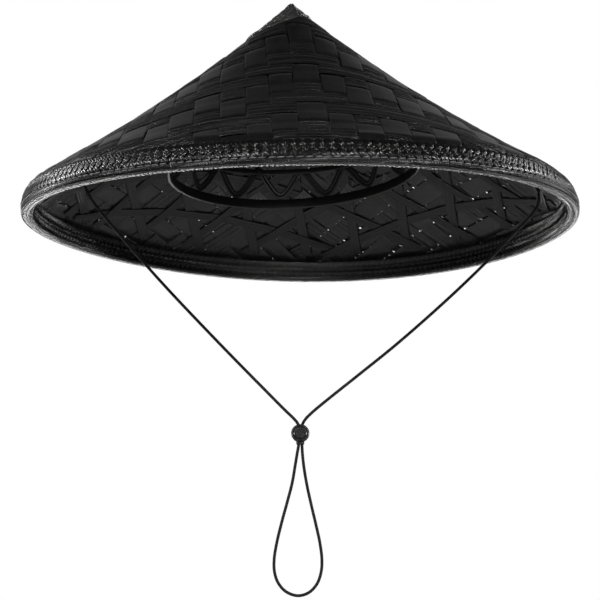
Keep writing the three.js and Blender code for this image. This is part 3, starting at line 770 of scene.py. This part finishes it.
def add_shell():
    random = np.random.default_rng(11)
    end = MAT_END
    widest = math.pi * MAT_SECTOR + MAT_LAP
    back_slope = math.tan(math.pi - widest)
    first = UPRIGHT_PHASE - UPRIGHT_PITCH * math.ceil((end + UPRIGHT_PHASE) / UPRIGHT_PITCH)
    columns = strip_edges(first, first + UPRIGHT_PITCH * MOST_UPRIGHTS, UPRIGHT_PITCH, random)
    columns = columns[columns < end + UPRIGHT_PITCH]
    lower = strip_edges(FIRST_ROW, FIRST_ROW + ROW_PITCH * ROWS_BELOW, ROW_PITCH, random)
    upper = -strip_edges(0, ROW_PITCH * ROWS_ABOVE, ROW_PITCH, random)[::-1]
    rows = np.concatenate([upper, lower])
    signs = weave_signs(len(columns) - 1, len(rows) - 1, random)
    column_edges = [(edge, wobble(random), edge_gap(random)) for edge in columns]
    row_edges = [(edge, wobble(random), edge_gap(random)) for edge in rows]

    def edge_line(entry, side):
        place, waver, gap = entry
        return lambda x: place + waver(x) + side * gap

    def half_chord(across):
        return math.sqrt(max(end ** 2 - across ** 2, 1.0))

    def upright_span(u):
        return max(-abs(u) / back_slope, -half_chord(u)), half_chord(u)

    def full(v):
        return -half_chord(v), half_chord(v)

    def right(v):
        return min(abs(v) * back_slope, half_chord(v) - 0.5), half_chord(v)

    def left(v):
        near, far = right(v)
        return -far, -near

    uprights = Piece("shell_upright_strips")
    for i in range(len(columns) - 1):
        low, high = edge_line(column_edges[i], 1), edge_line(column_edges[i + 1], -1)
        if abs(columns[i]) > end - 2 and abs(columns[i + 1]) > end - 2:
            continue
        mat_strip(uprights, low, high, upright_span, flat_section(),
                  lambda x, i=i: level_along(x, rows, signs[i]), i, True)
    uprights.make(SHELL_FINISH, ["woven_shell"], slot="woven_shell")

    bands = [Piece("shell_cross_strips_%d" % (k + 1)) for k in range(CROSS_STRIP_PIECES)]
    for j in range(len(rows) - 1):
        low, high = edge_line(row_edges[j], 1), edge_line(row_edges[j + 1], -1)
        middle = (rows[j] + rows[j + 1]) / 2
        if abs(middle) > end - 3:
            continue
        piece = bands[j * CROSS_STRIP_PIECES // (len(rows) - 1)]
        over = [(a + b) / 2 for a, b, sign in zip(columns, columns[1:], signs[:, j]) if sign < 0]
        splints = splint_lines(low, high, over, random)

        def level(x, j=j):
            return -level_along(x, columns, signs[:, j])

        for k, (first_line, last_line) in enumerate(splints):
            section = splint_section(random)
            push = random.uniform(-0.12, 0.22)
            for span in ([full] if middle > 0 else [left, right]):
                number = FIRST_SPLINT + j * MOST_SPLINTS + k
                mat_strip(piece, first_line, last_line, span, section, level, number, False, push)
    for piece in bands:
        piece.make(ROW_FINISH, slot="woven_shell")


# ---- the latticed lining

LATTICE_PITCH = 47
LATTICE_ROWS = 5
LATTICE_DIRECTIONS = 5
LATTICE_SECTOR = 300 / 360
LATTICE_TURN = math.radians(45.6)
LATTICE_STRIP_WIDTH = 8.5
LATTICE_EDGE_RADIUS = 199
LATTICE_DEPTH = 2.55
LATTICE_LIFT = 0.42
LATTICE_THICKNESS = 0.62


def lattice_section(random):
    """Section of a lining strip with two or three fine grooves: across and height."""
    half = LATTICE_THICKNESS / 2
    wide = LATTICE_STRIP_WIDTH / 2
    places = [-0.45, 0.05, 0.5] + random.uniform(-0.1, 0.1, 3)
    under = [(-wide, 0.05), (-wide + 0.25, -half)]
    for place in places:
        x = place * wide
        under += [(x - 0.3, -half), (x - 0.08, -half + 0.16), (x + 0.08, -half + 0.16), (x + 0.3, -half)]
    under += [(wide - 0.25, -half), (wide, 0.05)]
    over = [(wide - 0.3, half), (0, half), (-wide + 0.3, half)]
    return np.array(under + over)


def lattice_crossings(row, limit):
    """Where a strip meets the others, and whether it passes inside (+1) or outside (-1)."""
    own = LATTICE_PITCH * (row + 0.5)
    found = []
    for step in (-2, -1, 1, 2):
        turn = math.radians(60 * step)
        for other_row in range(LATTICE_ROWS):
            other = LATTICE_PITCH * (other_row + 0.5)
            place = (other - own * math.cos(turn)) / math.sin(turn)
            if math.hypot(own, place) < limit + 12:
                inside = 1 if step in (1, -2) else -1
                found.append((place, inside))
    return sorted(found)


def add_lining():
    random = np.random.default_rng(23)
    slant = math.hypot(CONE_RADIUS, CONE_HEIGHT - CONE_FOOT_HEIGHT)
    limit = LATTICE_EDGE_RADIUS * slant / CONE_RADIUS
    pieces = [Piece("lining_strips_1"), Piece("lining_strips_2")]
    for direction in range(LATTICE_DIRECTIONS):
        piece = pieces[direction * len(pieces) // LATTICE_DIRECTIONS]
        for row in range(LATTICE_ROWS):
            own = LATTICE_PITCH * (row + 0.5)
            half = math.sqrt(limit ** 2 - own ** 2)
            crossings = lattice_crossings(row, limit)
            places = np.array([-half - 30] + [c[0] for c in crossings] + [half + 30])
            levels = np.array([0] + [c[1] for c in crossings] + [0], float)
            section = lattice_section(random)
            rings = max(int(2 * half / 1.6), 8)
            along = np.linspace(-half, half, rings)[:, None]
            drift = random.uniform(-1.2, 1.2) + random.uniform(-1, 1) * np.sin(along / 60)
            span = np.searchsorted(places, along.ravel()) - 1
            span = np.clip(span, 0, len(places) - 2)
            share = (along.ravel() - places[span]) / (places[span + 1] - places[span])
            lift = levels[span] + (levels[span + 1] - levels[span]) * smoothstep(share)
            across = own + drift + section[None, :, 0] * (1 + 0.06 * np.sin(along / 23 + row))
            depth = LATTICE_DEPTH + LATTICE_LIFT * lift[:, None] - section[None, :, 1]
            reach = np.hypot(across, along)
            angle = np.arctan2(along, across) + math.radians(60) * direction
            radius, height = cone_point(reach * CONE_RADIUS / slant, depth)
            grid = seat(around(radius, LATTICE_TURN + angle / LATTICE_SECTOR, height))
            piece.sweep(grid, strand_marks(section[:, 0] + 5, along, 80 + direction * 5 + row))
    pieces[0].make(LINING_FINISH, ["lining_lattice"], slot="lining")
    pieces[1].make(LINING_FINISH, slot="lining")


# ---- the rim

EDGE_TWISTS = 260
EDGE_RADIUS = 209.3
EDGE_HEIGHT = 0.62
STITCHES = 212
STITCH_RADIUS = 208.9
STITCH_HEIGHT = 4.8
STITCH_RISE = 0.95
HOOPS = (
    ("outer", (207.4, 208.7, 1.7, 7.0)),
    ("inner", (203.2, 205.7, 1.7, 7.0)),
)


def oval_section(width, height, sides=10, flat=0.75):
    """Section of a rounded strand: across and height."""
    angle = (np.arange(sides) + 0.5) * TURN / sides
    x, y = np.cos(angle), np.sin(angle)
    x = np.sign(x) * np.abs(x) ** flat
    return np.stack([x * width / 2, y * height / 2], -1)


def plait(name, node, profile, random, pitch, thickness, lift, rows, detail=4, parts=1, plies=1):
    """A plaited band round the rim: two sets of slanting strands in long-float rows."""
    pieces = [Piece(name if parts == 1 else "%s_%d" % (name, k + 1)) for k in range(parts)]
    band = profile.length
    middle = profile.at(band / 2, 0)[0]
    count = int(round(TURN * middle / pitch))
    pitch = TURN * middle / count
    row_height = band / rows
    signs = np.where((np.arange(rows) // 2) % 2 == 0, 1, -1)
    width = pitch / math.sqrt(2) * 0.95
    steps = rows * detail + 1
    reach = np.linspace(0, band, steps)[:, None]
    level = level_along(reach, row_height * np.arange(rows + 1), signs, row_height * 0.4)
    section = oval_section(width / plies * 0.97, thickness, 6)
    for family in (1, -1):
        for i in range(count):
            waver = random.uniform(-0.3, 0.3)
            puff = random.uniform(0.7, 1.3)
            for ply in range(plies):
                shift = ((ply + 0.5) / plies - 0.5) * width
                proud = random.uniform(-0.08, 0.14) if plies > 1 else 0.0
                across = section[None, :, 0] + shift
                slide = family * (reach - band / 2) + waver
                place_reach = np.clip(reach - family * across / math.sqrt(2), 0, band)
                place_side = i * pitch + slide + across / math.sqrt(2)
                rise = -lift * family * level * puff - proud - section[None, :, 1]
                radius, height = profile.at(place_reach, rise)
                grid = seat(around(radius, place_side / middle, height))
                number = 2 * i + ply + 700 * (family > 0)
                pieces[i * parts // count].sweep(grid, strand_marks(section[:, 0] + 3, reach, number))
    for k, piece in enumerate(pieces):
        piece.make(BRAID_FINISH, [node] if k == 0 else [], slot="rim_braid", sharp=60)


def rim_hoop(side, box, random):
    """A hoop of cane under the plait, a little uneven."""
    inner, outer, bottom, top = box
    outline = rounded_box(inner, outer, bottom, top, (outer - inner) * 0.42)
    azimuth = round_steps(420)
    phases = random.uniform(0, TURN, 4)
    push = 0.08 * (np.sin(5 * azimuth + phases[0]) + 0.6 * np.sin(13 * azimuth + phases[1]))
    radius = outline[None, :, 0] + push
    height = outline[None, :, 1] + 0.04 * np.sin(7 * azimuth + phases[2])
    grid = seat(around(radius, azimuth, height))
    edge = np.linalg.norm(np.diff(outline, axis=0, append=outline[:1]), axis=1)
    width = np.concatenate([[0], np.cumsum(edge)[:-1]])
    piece = Piece("rim_hoop_%s_cane" % side)
    piece.sweep(grid, strand_marks(width, azimuth * RIM_RADIUS, 1), closed=True)
    piece.make(HOOP_FINISH, ["rim_hoop_" + side], slot="hoop", sharp=70)


def rounded_box(inner, outer, bottom, top, corner, turns=3):
    """Outline of a rectangle with rounded corners, in radius and height."""
    centres = [(outer - corner, bottom + corner, -0.25), (outer - corner, top - corner, 0),
               (inner + corner, top - corner, 0.25), (inner + corner, bottom + corner, 0.5)]
    found = []
    for x, y, start in centres:
        for k in range(turns + 1):
            angle = TURN * (start + 0.25 * k / turns)
            found.append((x + corner * math.cos(angle), y + corner * math.sin(angle)))
    return np.array(found)


def edge_twist():
    """Two strands twisted along the rim's lower edge, light grey as a painted highlight of that edge."""
    piece = Piece("rim_edge_twist")
    t = np.arange(3200) * TURN / 3200
    for strand in (0, 1):
        turn = strand * math.pi + t * EDGE_TWISTS
        path = seat(around(EDGE_RADIUS + 0.3 * np.cos(turn), t, EDGE_HEIGHT + 0.3 * np.sin(turn)))
        piece.thread(path, 0.34, 6, (0, 0, 1), t * RIM_RADIUS, strand, closed=True)
    piece.make(EDGE_PAINTED_HIGHLIGHT_FINISH, slot="thread", sharp=80)


def rim_stitches(random):
    """Running stitches that hold the plaited band to the hoop."""
    piece = Piece("rim_stitches")
    share = np.linspace(-1, 1, 7)
    for i in range(STITCHES):
        middle = TURN * (i + random.uniform(-0.08, 0.08)) / STITCHES
        half = TURN / STITCHES * random.uniform(0.36, 0.43)
        radius = STITCH_RADIUS + STITCH_RISE * np.sqrt(1 - 0.9 * share ** 2)
        path = seat(around(radius, middle + half * share, STITCH_HEIGHT + 0.12 * share))
        piece.thread(path, 0.5 * np.sqrt(1.02 - 0.75 * share ** 2), 6, (0, 0, 1), share * 2, i)
    piece.make(THREAD_PAINTED_SPARKLE_FINISH, ["rim_sewing_thread"], slot="thread", sharp=80)


def add_rim():
    random = np.random.default_rng(37)
    lip = [(204.9, 17.4), (206.4, 15.6), (207.8, 12.2), (208.8, 9.2), (209.3, 7), (209.4, 5.3)]
    plait("rim_plait_outer", "rim_braid_outer", smooth_profile(lip), random,
          pitch=6.3, thickness=0.8, lift=0.45, rows=6, parts=3, plies=2)
    inside = [(199.3, 15.6), (200.3, 12), (201.3, 6), (202.0, 0.7)]
    plait("rim_plait_inner", "rim_braid_inner", smooth_profile(inside), random,
          pitch=4.6, thickness=0.7, lift=0.36, rows=8, detail=3, parts=2, plies=2)
    foot = [(209.45, 4.1), (209.5, 2.6), (209.4, 1.3)]
    plait("rim_plait_foot", "rim_braid_foot", smooth_profile(foot, 0.25), random,
          pitch=3.8, thickness=0.6, lift=0.28, rows=2, detail=5, plies=2)
    underside = [(203.4, 1.3), (204.2, 0.6), (206.4, 0.5), (208.7, 0.7)]
    plait("rim_plait_edge", "rim_edge_binding", smooth_profile(underside, 0.25), random,
          pitch=3.4, thickness=0.75, lift=0.34, rows=4, detail=3)
    edge_twist()
    for side, box in HOOPS:
        rim_hoop(side, box, random)
    rim_stitches(random)


# ---- the tip

CAP_TURNS = 15
CAP_LIP_STEPS = 240
TIP_KNOT_THICKNESS = 0.62
TIP_KNOT_SETTLE = np.array([0, 1.35, -1.45])


def cap_edge(azimuth):
    """The winding over the tip reaches lower on the hat's left."""
    side = azimuth - math.radians(184)
    return 20.8 + 11 * np.cos(side) + 3.1 * np.cos(2 * side) + 0.4 * np.sin(5 * azimuth)


def add_apex():
    random = np.random.default_rng(5)
    piece = Piece("apex_winding")
    steps = CAP_TURNS * 72
    t = np.linspace(0, 1, steps)[:, None]
    azimuth = -0.6 + CAP_TURNS * TURN * t
    phases = random.uniform(0, TURN, 6)
    section = oval_section(1.55, 1.05, 8)
    slip = 0.35 * np.sin(azimuth * 3.3 + phases[0]) + 0.25 * np.sin(azimuth * 7.1 + phases[1])
    radius = np.maximum(cap_edge(azimuth) * (1 - t) + 0.5 + slip * (1 - t), 0.45)
    out = 0.75 + 0.16 * np.sin(azimuth * 1.37 + phases[2]) + 0.14 * np.sin(azimuth * 4.9 + phases[3])
    out = out + 0.5 * smoothstep((t - 0.8) / 0.2)
    across, rise = section[:, 0], section[:, 1]
    radius, height = cone_point(np.maximum(radius + across * 0.74, 0.2), -(out + rise))
    piece.sweep(seat(around(radius, azimuth, height)), strand_marks(across + 3, t * 2500, 1))
    lip = Piece("apex_lip")
    azimuth = np.linspace(0, TURN, CAP_LIP_STEPS, endpoint=False)
    for k in range(2):
        radius = cap_edge(azimuth) + 0.5 + 0.9 * k
        r, z = cone_point(radius, -(0.95 - 0.35 * k + 0.12 * np.sin(9 * azimuth + k)))
        thickness = 0.62 - 0.1 * k + 0.3 * np.clip(-np.cos(azimuth), 0, 1)
        path = seat(around(r, azimuth, z))
        lip.thread(path, thickness, 8, (0, 0, 1), azimuth * 22, 7 + k, 0.45, closed=True)
    piece.make(WINDING_PAINTED_GLINT_FINISH, ["apex_cap"], slot="woven_shell", sharp=70)
    lip.make(WINDING_PAINTED_GLINT_FINISH, slot="woven_shell", sharp=70)
    knot_place = box_centre("apex_knot") + TIP_KNOT_SETTLE
    add_knot("apex_knot_twist", "apex_knot", knot_place, TIP_KNOT_THICKNESS, WINDING_PAINTED_GLINT_FINISH, "woven_shell")


# ---- the head ring

RING_RADIUS = 97.4
RING_PLACE = (-4.2, 0, -3.15)
RING_PITCH = -0.067
RING_ROLL = -0.057
LOWER_HOOP_HEIGHT = 7.8
LOWER_HOOP_THICKNESS = 2.2
UPPER_HOOP_RADIUS = 90.3
UPPER_HOOP_BOTTOM = 26.6
UPPER_HOOP_TOP = 31
UPPER_HOOP_THICKNESS = 1.8
LOOPS = 16
LOOP_STRIP_WIDTH = 5.4
LOOP_ROUNDING = 0.35
RING_TURN = -0.079
GUSSET_FOOT = 6.4
GUSSET_HEIGHT = 8.4
GUSSET_HALF_WIDTH = 9.4
LASHINGS = 8
LASHING_TURNS = 3
LASHING_TOP_RADIUS = 100

RING_MATRIX = np.array(
    Matrix.Translation(RING_PLACE)
    @ Matrix.Rotation(RING_PITCH, 4, "X")
    @ Matrix.Rotation(RING_ROLL, 4, "Y")
)


def ring_to_part(points):
    return points @ RING_MATRIX[:3, :3].T + RING_MATRIX[:3, 3]


def ring_wall(height):
    """Radius of the wall that the ring's bent strips stand in."""
    share = (height - LOWER_HOOP_HEIGHT) / (UPPER_HOOP_BOTTOM - LOWER_HOOP_HEIGHT)
    bottom = RING_RADIUS - LOWER_HOOP_THICKNESS / 2
    return bottom + (UPPER_HOOP_RADIUS + 0.9 - bottom) * np.minimum(share, 1)


def ring_place(side, height, depth, azimuth):
    """A point on the ring's wall: sideways and up along it, and outwards from it."""
    radius = ring_wall(height) + depth
    return ring_to_part(around(radius, azimuth + side / UPPER_HOOP_RADIUS, height))


def ring_hoop(node, outline, random):
    azimuth = round_steps(300)
    push = 0.15 * np.sin(4 * azimuth + random.uniform(0, TURN)) + 0.08 * np.sin(11 * azimuth)
    radius = outline[None, :, 0] + push
    grid = ring_to_part(around(radius, azimuth, outline[None, :, 1]))
    width = np.arange(len(outline)) * 1.2
    piece = Piece(node + "_cane")
    piece.sweep(grid, strand_marks(width, azimuth * RING_RADIUS, 9), closed=True)
    piece.make(RING_FINISH, [node], slot="hoop", sharp=70)


def ring_loop(index, random):
    """One V of the ring's edge: two thin canes side by side, bent down to the lower hoop."""
    azimuth = (index + 0.5) * TURN / LOOPS + RING_TURN
    pitch = TURN * UPPER_HOOP_RADIUS / LOOPS
    half_span = pitch / 2 - 1.2
    bottom = LOWER_HOOP_HEIGHT + 0.1 + LOOP_STRIP_WIDTH / 2
    stand_off = 0.5 + 1.1 * (index % 2)
    rise = UPPER_HOOP_TOP - bottom
    piece = Piece("ring_scallop_%02d" % (index + 1))
    share = np.linspace(-1, 1, 61)
    section = oval_section(LOOP_STRIP_WIDTH / 2 - 0.05, 1.0, 10)
    waver = random.uniform(-0.5, 0.5, 3)
    side = half_span * share + waver[0] * (1 - share ** 2)
    bend = (np.hypot(share, LOOP_ROUNDING) - LOOP_ROUNDING) / (math.hypot(1, LOOP_ROUNDING) - LOOP_ROUNDING)
    height = bottom + rise * bend + 0.4 * waver[1] * (1 - share ** 2)
    ahead = unit(np.stack([np.gradient(side), np.gradient(height)], -1))
    along = np.linspace(0, 80, len(share))[:, None]
    for strand in (-1, 1):
        offset = strand * LOOP_STRIP_WIDTH / 4 + section[None, :, 0]
        place_side = side[:, None] - ahead[:, 1:] * offset
        place_height = height[:, None] + ahead[:, :1] * offset
        depth = stand_off + section[None, :, 1] + 0.12 * strand
        grid = ring_place(place_side, place_height, depth, azimuth)
        piece.sweep(grid, strand_marks(section[:, 0] + 2, along, index * 2 + strand))
    piece.make(RING_FINISH, ["ring_loop_%02d" % (index + 1)], slot="hoop", sharp=70)


def ring_gusset(piece, stitches, index):
    """The little plaited triangle between two neighbouring loops, with its two stitches."""
    azimuth = index * TURN / LOOPS + RING_TURN
    up = np.linspace(0, 1, 22)[:, None]
    share = np.linspace(-1, 1, 34)[None, :]
    height = GUSSET_FOOT + GUSSET_HEIGHT * up
    side = GUSSET_HALF_WIDTH * share * (1 - up) ** 1.15
    weave = 0.22 * np.sin(side * 3.2) * np.sin(height * 3.2)
    for face in (0, 1):
        depth = -0.45 + weave + face * 0.5
        points = ring_place(side, height, depth, azimuth)
        marks = strand_marks(side + 10, height, index + 0.5)
        piece.sheet(points if face else points[:, ::-1], marks if face else marks[:, ::-1])
    share = np.linspace(-1, 1, 7)
    for k in (-1, 1):
        path = ring_place(k * 1.4 + 0.15 * share, 8.4 + 0.9 * share, -1.25 + 0.5 * share ** 2, azimuth)
        stitches.thread(path, 0.4, 6, (0, 0.3, 0.95), share * 2, index * 2 + k)


def ring_lashing(index):
    """A tie of split cane: wound round the upper hoop, then up to the lining."""
    azimuth = (index + 0.5) * TURN / LASHINGS + RING_TURN
    piece = Piece("ring_tie_%d" % (index + 1))
    middle_radius = UPPER_HOOP_RADIUS - UPPER_HOOP_THICKNESS / 2
    middle_height = (UPPER_HOOP_TOP + UPPER_HOOP_BOTTOM) / 2
    t = np.linspace(0, 1, 90)
    turn = TURN * LASHING_TURNS * t
    side = -2.4 + 4.8 * t
    radius = middle_radius + 1.75 * np.cos(turn)
    height = middle_height + 3.05 * np.sin(turn)
    path = ring_to_part(around(radius, azimuth + side / middle_radius, height))
    piece.thread(path, 0.6, 8, (0.2, 0.3, 0.9), t * 80, index, 0.45)
    ends = np.array([UPPER_HOOP_BOTTOM - 1, UPPER_HOOP_TOP + 1])
    low = ring_to_part(around(UPPER_HOOP_RADIUS + 2.9, azimuth, ends))
    top_radius, top_height = cone_point(LASHING_TOP_RADIUS + 0.5, 4.1)
    top = seat(around(top_radius, azimuth, top_height))
    sideways = np.array([-math.sin(azimuth), math.cos(azimuth), 0])
    route, _ = catmull_rom([low[0], low[1], (low[1] * 0.4 + top * 0.6), top], 30)
    section = oval_section(2.2, 0.9, 8)
    out = np.cross(sideways[None, :], unit(np.gradient(route, axis=0)))
    along = np.linspace(0, 30, len(route))[:, None]
    for strand in (-1, 1):
        grid = (route[:, None] + (strand * 1.25 + section[None, :, :1]) * sideways
                + section[None, :, 1:] * out[:, None])
        piece.sweep(grid, strand_marks(section[:, 0] + 2, along, index + strand * 9))
    piece.make(LINING_FINISH, ["ring_lashing_%d" % (index + 1)], slot="lining", sharp=70)


def add_head_ring():
    random = np.random.default_rng(41)
    lower = rounded_box(RING_RADIUS - LOWER_HOOP_THICKNESS, RING_RADIUS, 0, LOWER_HOOP_HEIGHT, 0.85)
    ring_hoop("ring_hoop_lower", lower, random)
    upper = rounded_box(UPPER_HOOP_RADIUS - UPPER_HOOP_THICKNESS, UPPER_HOOP_RADIUS,
                        UPPER_HOOP_BOTTOM, UPPER_HOOP_TOP, 0.7)
    ring_hoop("ring_hoop_upper", upper, random)
    gussets = Piece("ring_gussets")
    stitches = Piece("ring_stitches")
    for i in range(LOOPS):
        ring_loop(i, random)
        ring_gusset(gussets, stitches, i)
    gussets.make(GUSSET_PAINTED_LIGHT_FINISH, slot="lining", sharp=60)
    stitches.make(THREAD_PAINTED_SPARKLE_FINISH, slot="thread", sharp=80)
    for i in range(LASHINGS):
        ring_lashing(i)


# ---- the cord lock, in millimetres from its centre

LOCK_CENTRE = Vector((0, 0, -0.2032))
BALL_RADIUS = 6.9
BORE_RADIUS = 4.8
BORE_END = 5.0
CORD_SLOT_WIDTH = 4.9
BUTTON_END = 1.4
SPRING_TURNS = 3
SPRING_RADIUS = 2.6
SPRING_WIRE = 0.4
SPRING_CLEARANCE = 0.3


def lathe_y(name, profile, segments=72):
    """A closed mesh turned about the lock's front-to-back axis, from [radius, depth] pairs."""
    shape = bmesh.new()
    rings = []
    for radius, depth in profile:
        if radius < 1e-6:
            rings.append([shape.verts.new((0, depth * MM, 0))])
            continue
        ring = []
        for k in range(segments):
            angle = TURN * k / segments
            point = (radius * math.cos(angle), depth, radius * math.sin(angle))
            ring.append(shape.verts.new([c * MM for c in point]))
        rings.append(ring)
    for a, b in zip(rings, rings[1:]):
        for k in range(segments):
            corners = [a[k % len(a)], a[(k + 1) % len(a)], b[(k + 1) % len(b)], b[k % len(b)]]
            corners = list(dict.fromkeys(corners))
            if len(corners) > 2:
                shape.faces.new(corners)
    bmesh.ops.recalc_face_normals(shape, faces=shape.faces)
    return shape_object(name, shape)


def shape_object(name, shape):
    mesh = bpy.data.meshes.new(name)
    shape.to_mesh(mesh)
    shape.free()
    return add_object(name, mesh)


def arc(centre, radius, start, end, steps):
    """Points of an arc as [radius, depth] pairs, with angles in degrees."""
    found = []
    for k in range(steps + 1):
        angle = math.radians(start + (end - start) * k / steps)
        found.append((centre[0] + radius * math.cos(angle), centre[1] + radius * math.sin(angle)))
    return found


def cut_box(name, size, centre):
    shape = bmesh.new()
    bmesh.ops.create_cube(shape, size=1.0)
    for vert in shape.verts:
        vert.co = Vector([vert.co[i] * size[i] * MM + centre[i] * MM for i in range(3)])
    return shape_object(name, shape)


def settle(piece, bevel, cutters=(), joined=()):
    """Applies booleans and a small bevel, so that the piece's mesh is final."""
    for tool, operation in [(c, "DIFFERENCE") for c in cutters] + [(j, "UNION") for j in joined]:
        modifier = piece.modifiers.new(operation.lower(), "BOOLEAN")
        modifier.operation = operation
        modifier.object = tool
        modifier.solver = "EXACT"
    if bevel:
        rounding = piece.modifiers.new("bevel", "BEVEL")
        rounding.width = bevel * MM
        rounding.segments = 3
        rounding.limit_method = "ANGLE"
        rounding.angle_limit = math.radians(40)
    bpy.context.view_layer.update()
    settled = piece.evaluated_get(bpy.context.evaluated_depsgraph_get())
    made = bpy.data.meshes.new_from_object(settled)
    piece.modifiers.clear()
    piece.data = made
    for tool in list(cutters) + list(joined):
        bpy.data.objects.remove(tool)
    shade_smooth(made, 35)


def lock_housing():
    ball = [(0, -6.2), *arc((5.3, -5.6), 0.6, -90, -20, 4),
            *arc((0.0, -0.2), BALL_RADIUS, -35, 62, 18), (0, 6.6)]
    housing = lathe_y("lock_ball", ball)
    collar = lathe_y("collar", [(0, 0), (3.1, 0), (3.1, 7.9), (2.7, 8.4), (0, 8.4)], 48)
    collar.data.transform(Matrix.Rotation(-math.pi / 2, 4, "X"))
    bore = lathe_y("bore", [(0, -7.5), (5.05, -7.5), (5.05, -6.1), (BORE_RADIUS, -5.7),
                            (BORE_RADIUS, BORE_END), (0, BORE_END)], 64)
    slot = cut_box("slot", (CORD_SLOT_WIDTH, 2.4, 30), (0, 0, 0))
    settle(housing, 0, joined=[collar])
    settle(housing, 0.22, cutters=[bore, slot])
    return housing


def lock_button():
    outline = [(0, -9.0), (2.0, -9.05), (2.3, -8.85), (2.6, -9.05), (3.4, -9.05),
               *arc((3.5, -8.1), 1.0, -75, 0, 6), (4.5, 1.2), (4.3, BUTTON_END), (0, BUTTON_END)]
    button = lathe_y("lock_plunger", outline, 64)
    settle(button, 0.18, cutters=[cut_box("button_slot", (CORD_SLOT_WIDTH, 3.4, 30), (0, -1.9, 0))])
    return button


def lock_spring():
    """A short coil between the button and the end of its bore."""
    gap = SPRING_CLEARANCE + SPRING_WIRE / 2
    start, end = BUTTON_END + gap, BORE_END - gap
    t = np.linspace(0, 1, 121)
    angle = TURN * SPRING_TURNS * t
    height = LOCK_CENTRE.z / MM + SPRING_RADIUS * np.sin(angle)
    path = np.stack([SPRING_RADIUS * np.cos(angle), start + (end - start) * t, height], -1)
    spring = Piece("lock_coil")
    spring.sweep(tube_grid(path, SPRING_WIRE / 2, 10), np.zeros((len(t), 10, 3)))
    coil = spring.make(steel_material(), ["lock_spring"], body=None, sharp=80, slot="spring_steel")
    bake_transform(coil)
    return coil


def add_lock():
    """A ball-shaped lock: housing, slotted push button and its spring."""
    housing, button = lock_housing(), lock_button()
    coil = lock_spring()
    finish = plastic_material("lock_plastic", (0.022, 0.022, 0.0225), 0.4)
    for piece, node, body in ((housing, "lock_housing", "cord_lock"), (button, "lock_button", "button")):
        piece.data.transform(Matrix.Translation(LOCK_CENTRE))
        piece.data.materials.clear()
        piece.data.materials.append(finish)
        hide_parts(node)
        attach(piece, body)
    return [housing, button, coil]


# ---- the whole hat

add_camera()
add_world()
add_lights()
add_floor()
add_cords(add_lock())
add_cord_knots()
add_shell()
add_lining()
add_rim()
add_apex()
add_head_ring()
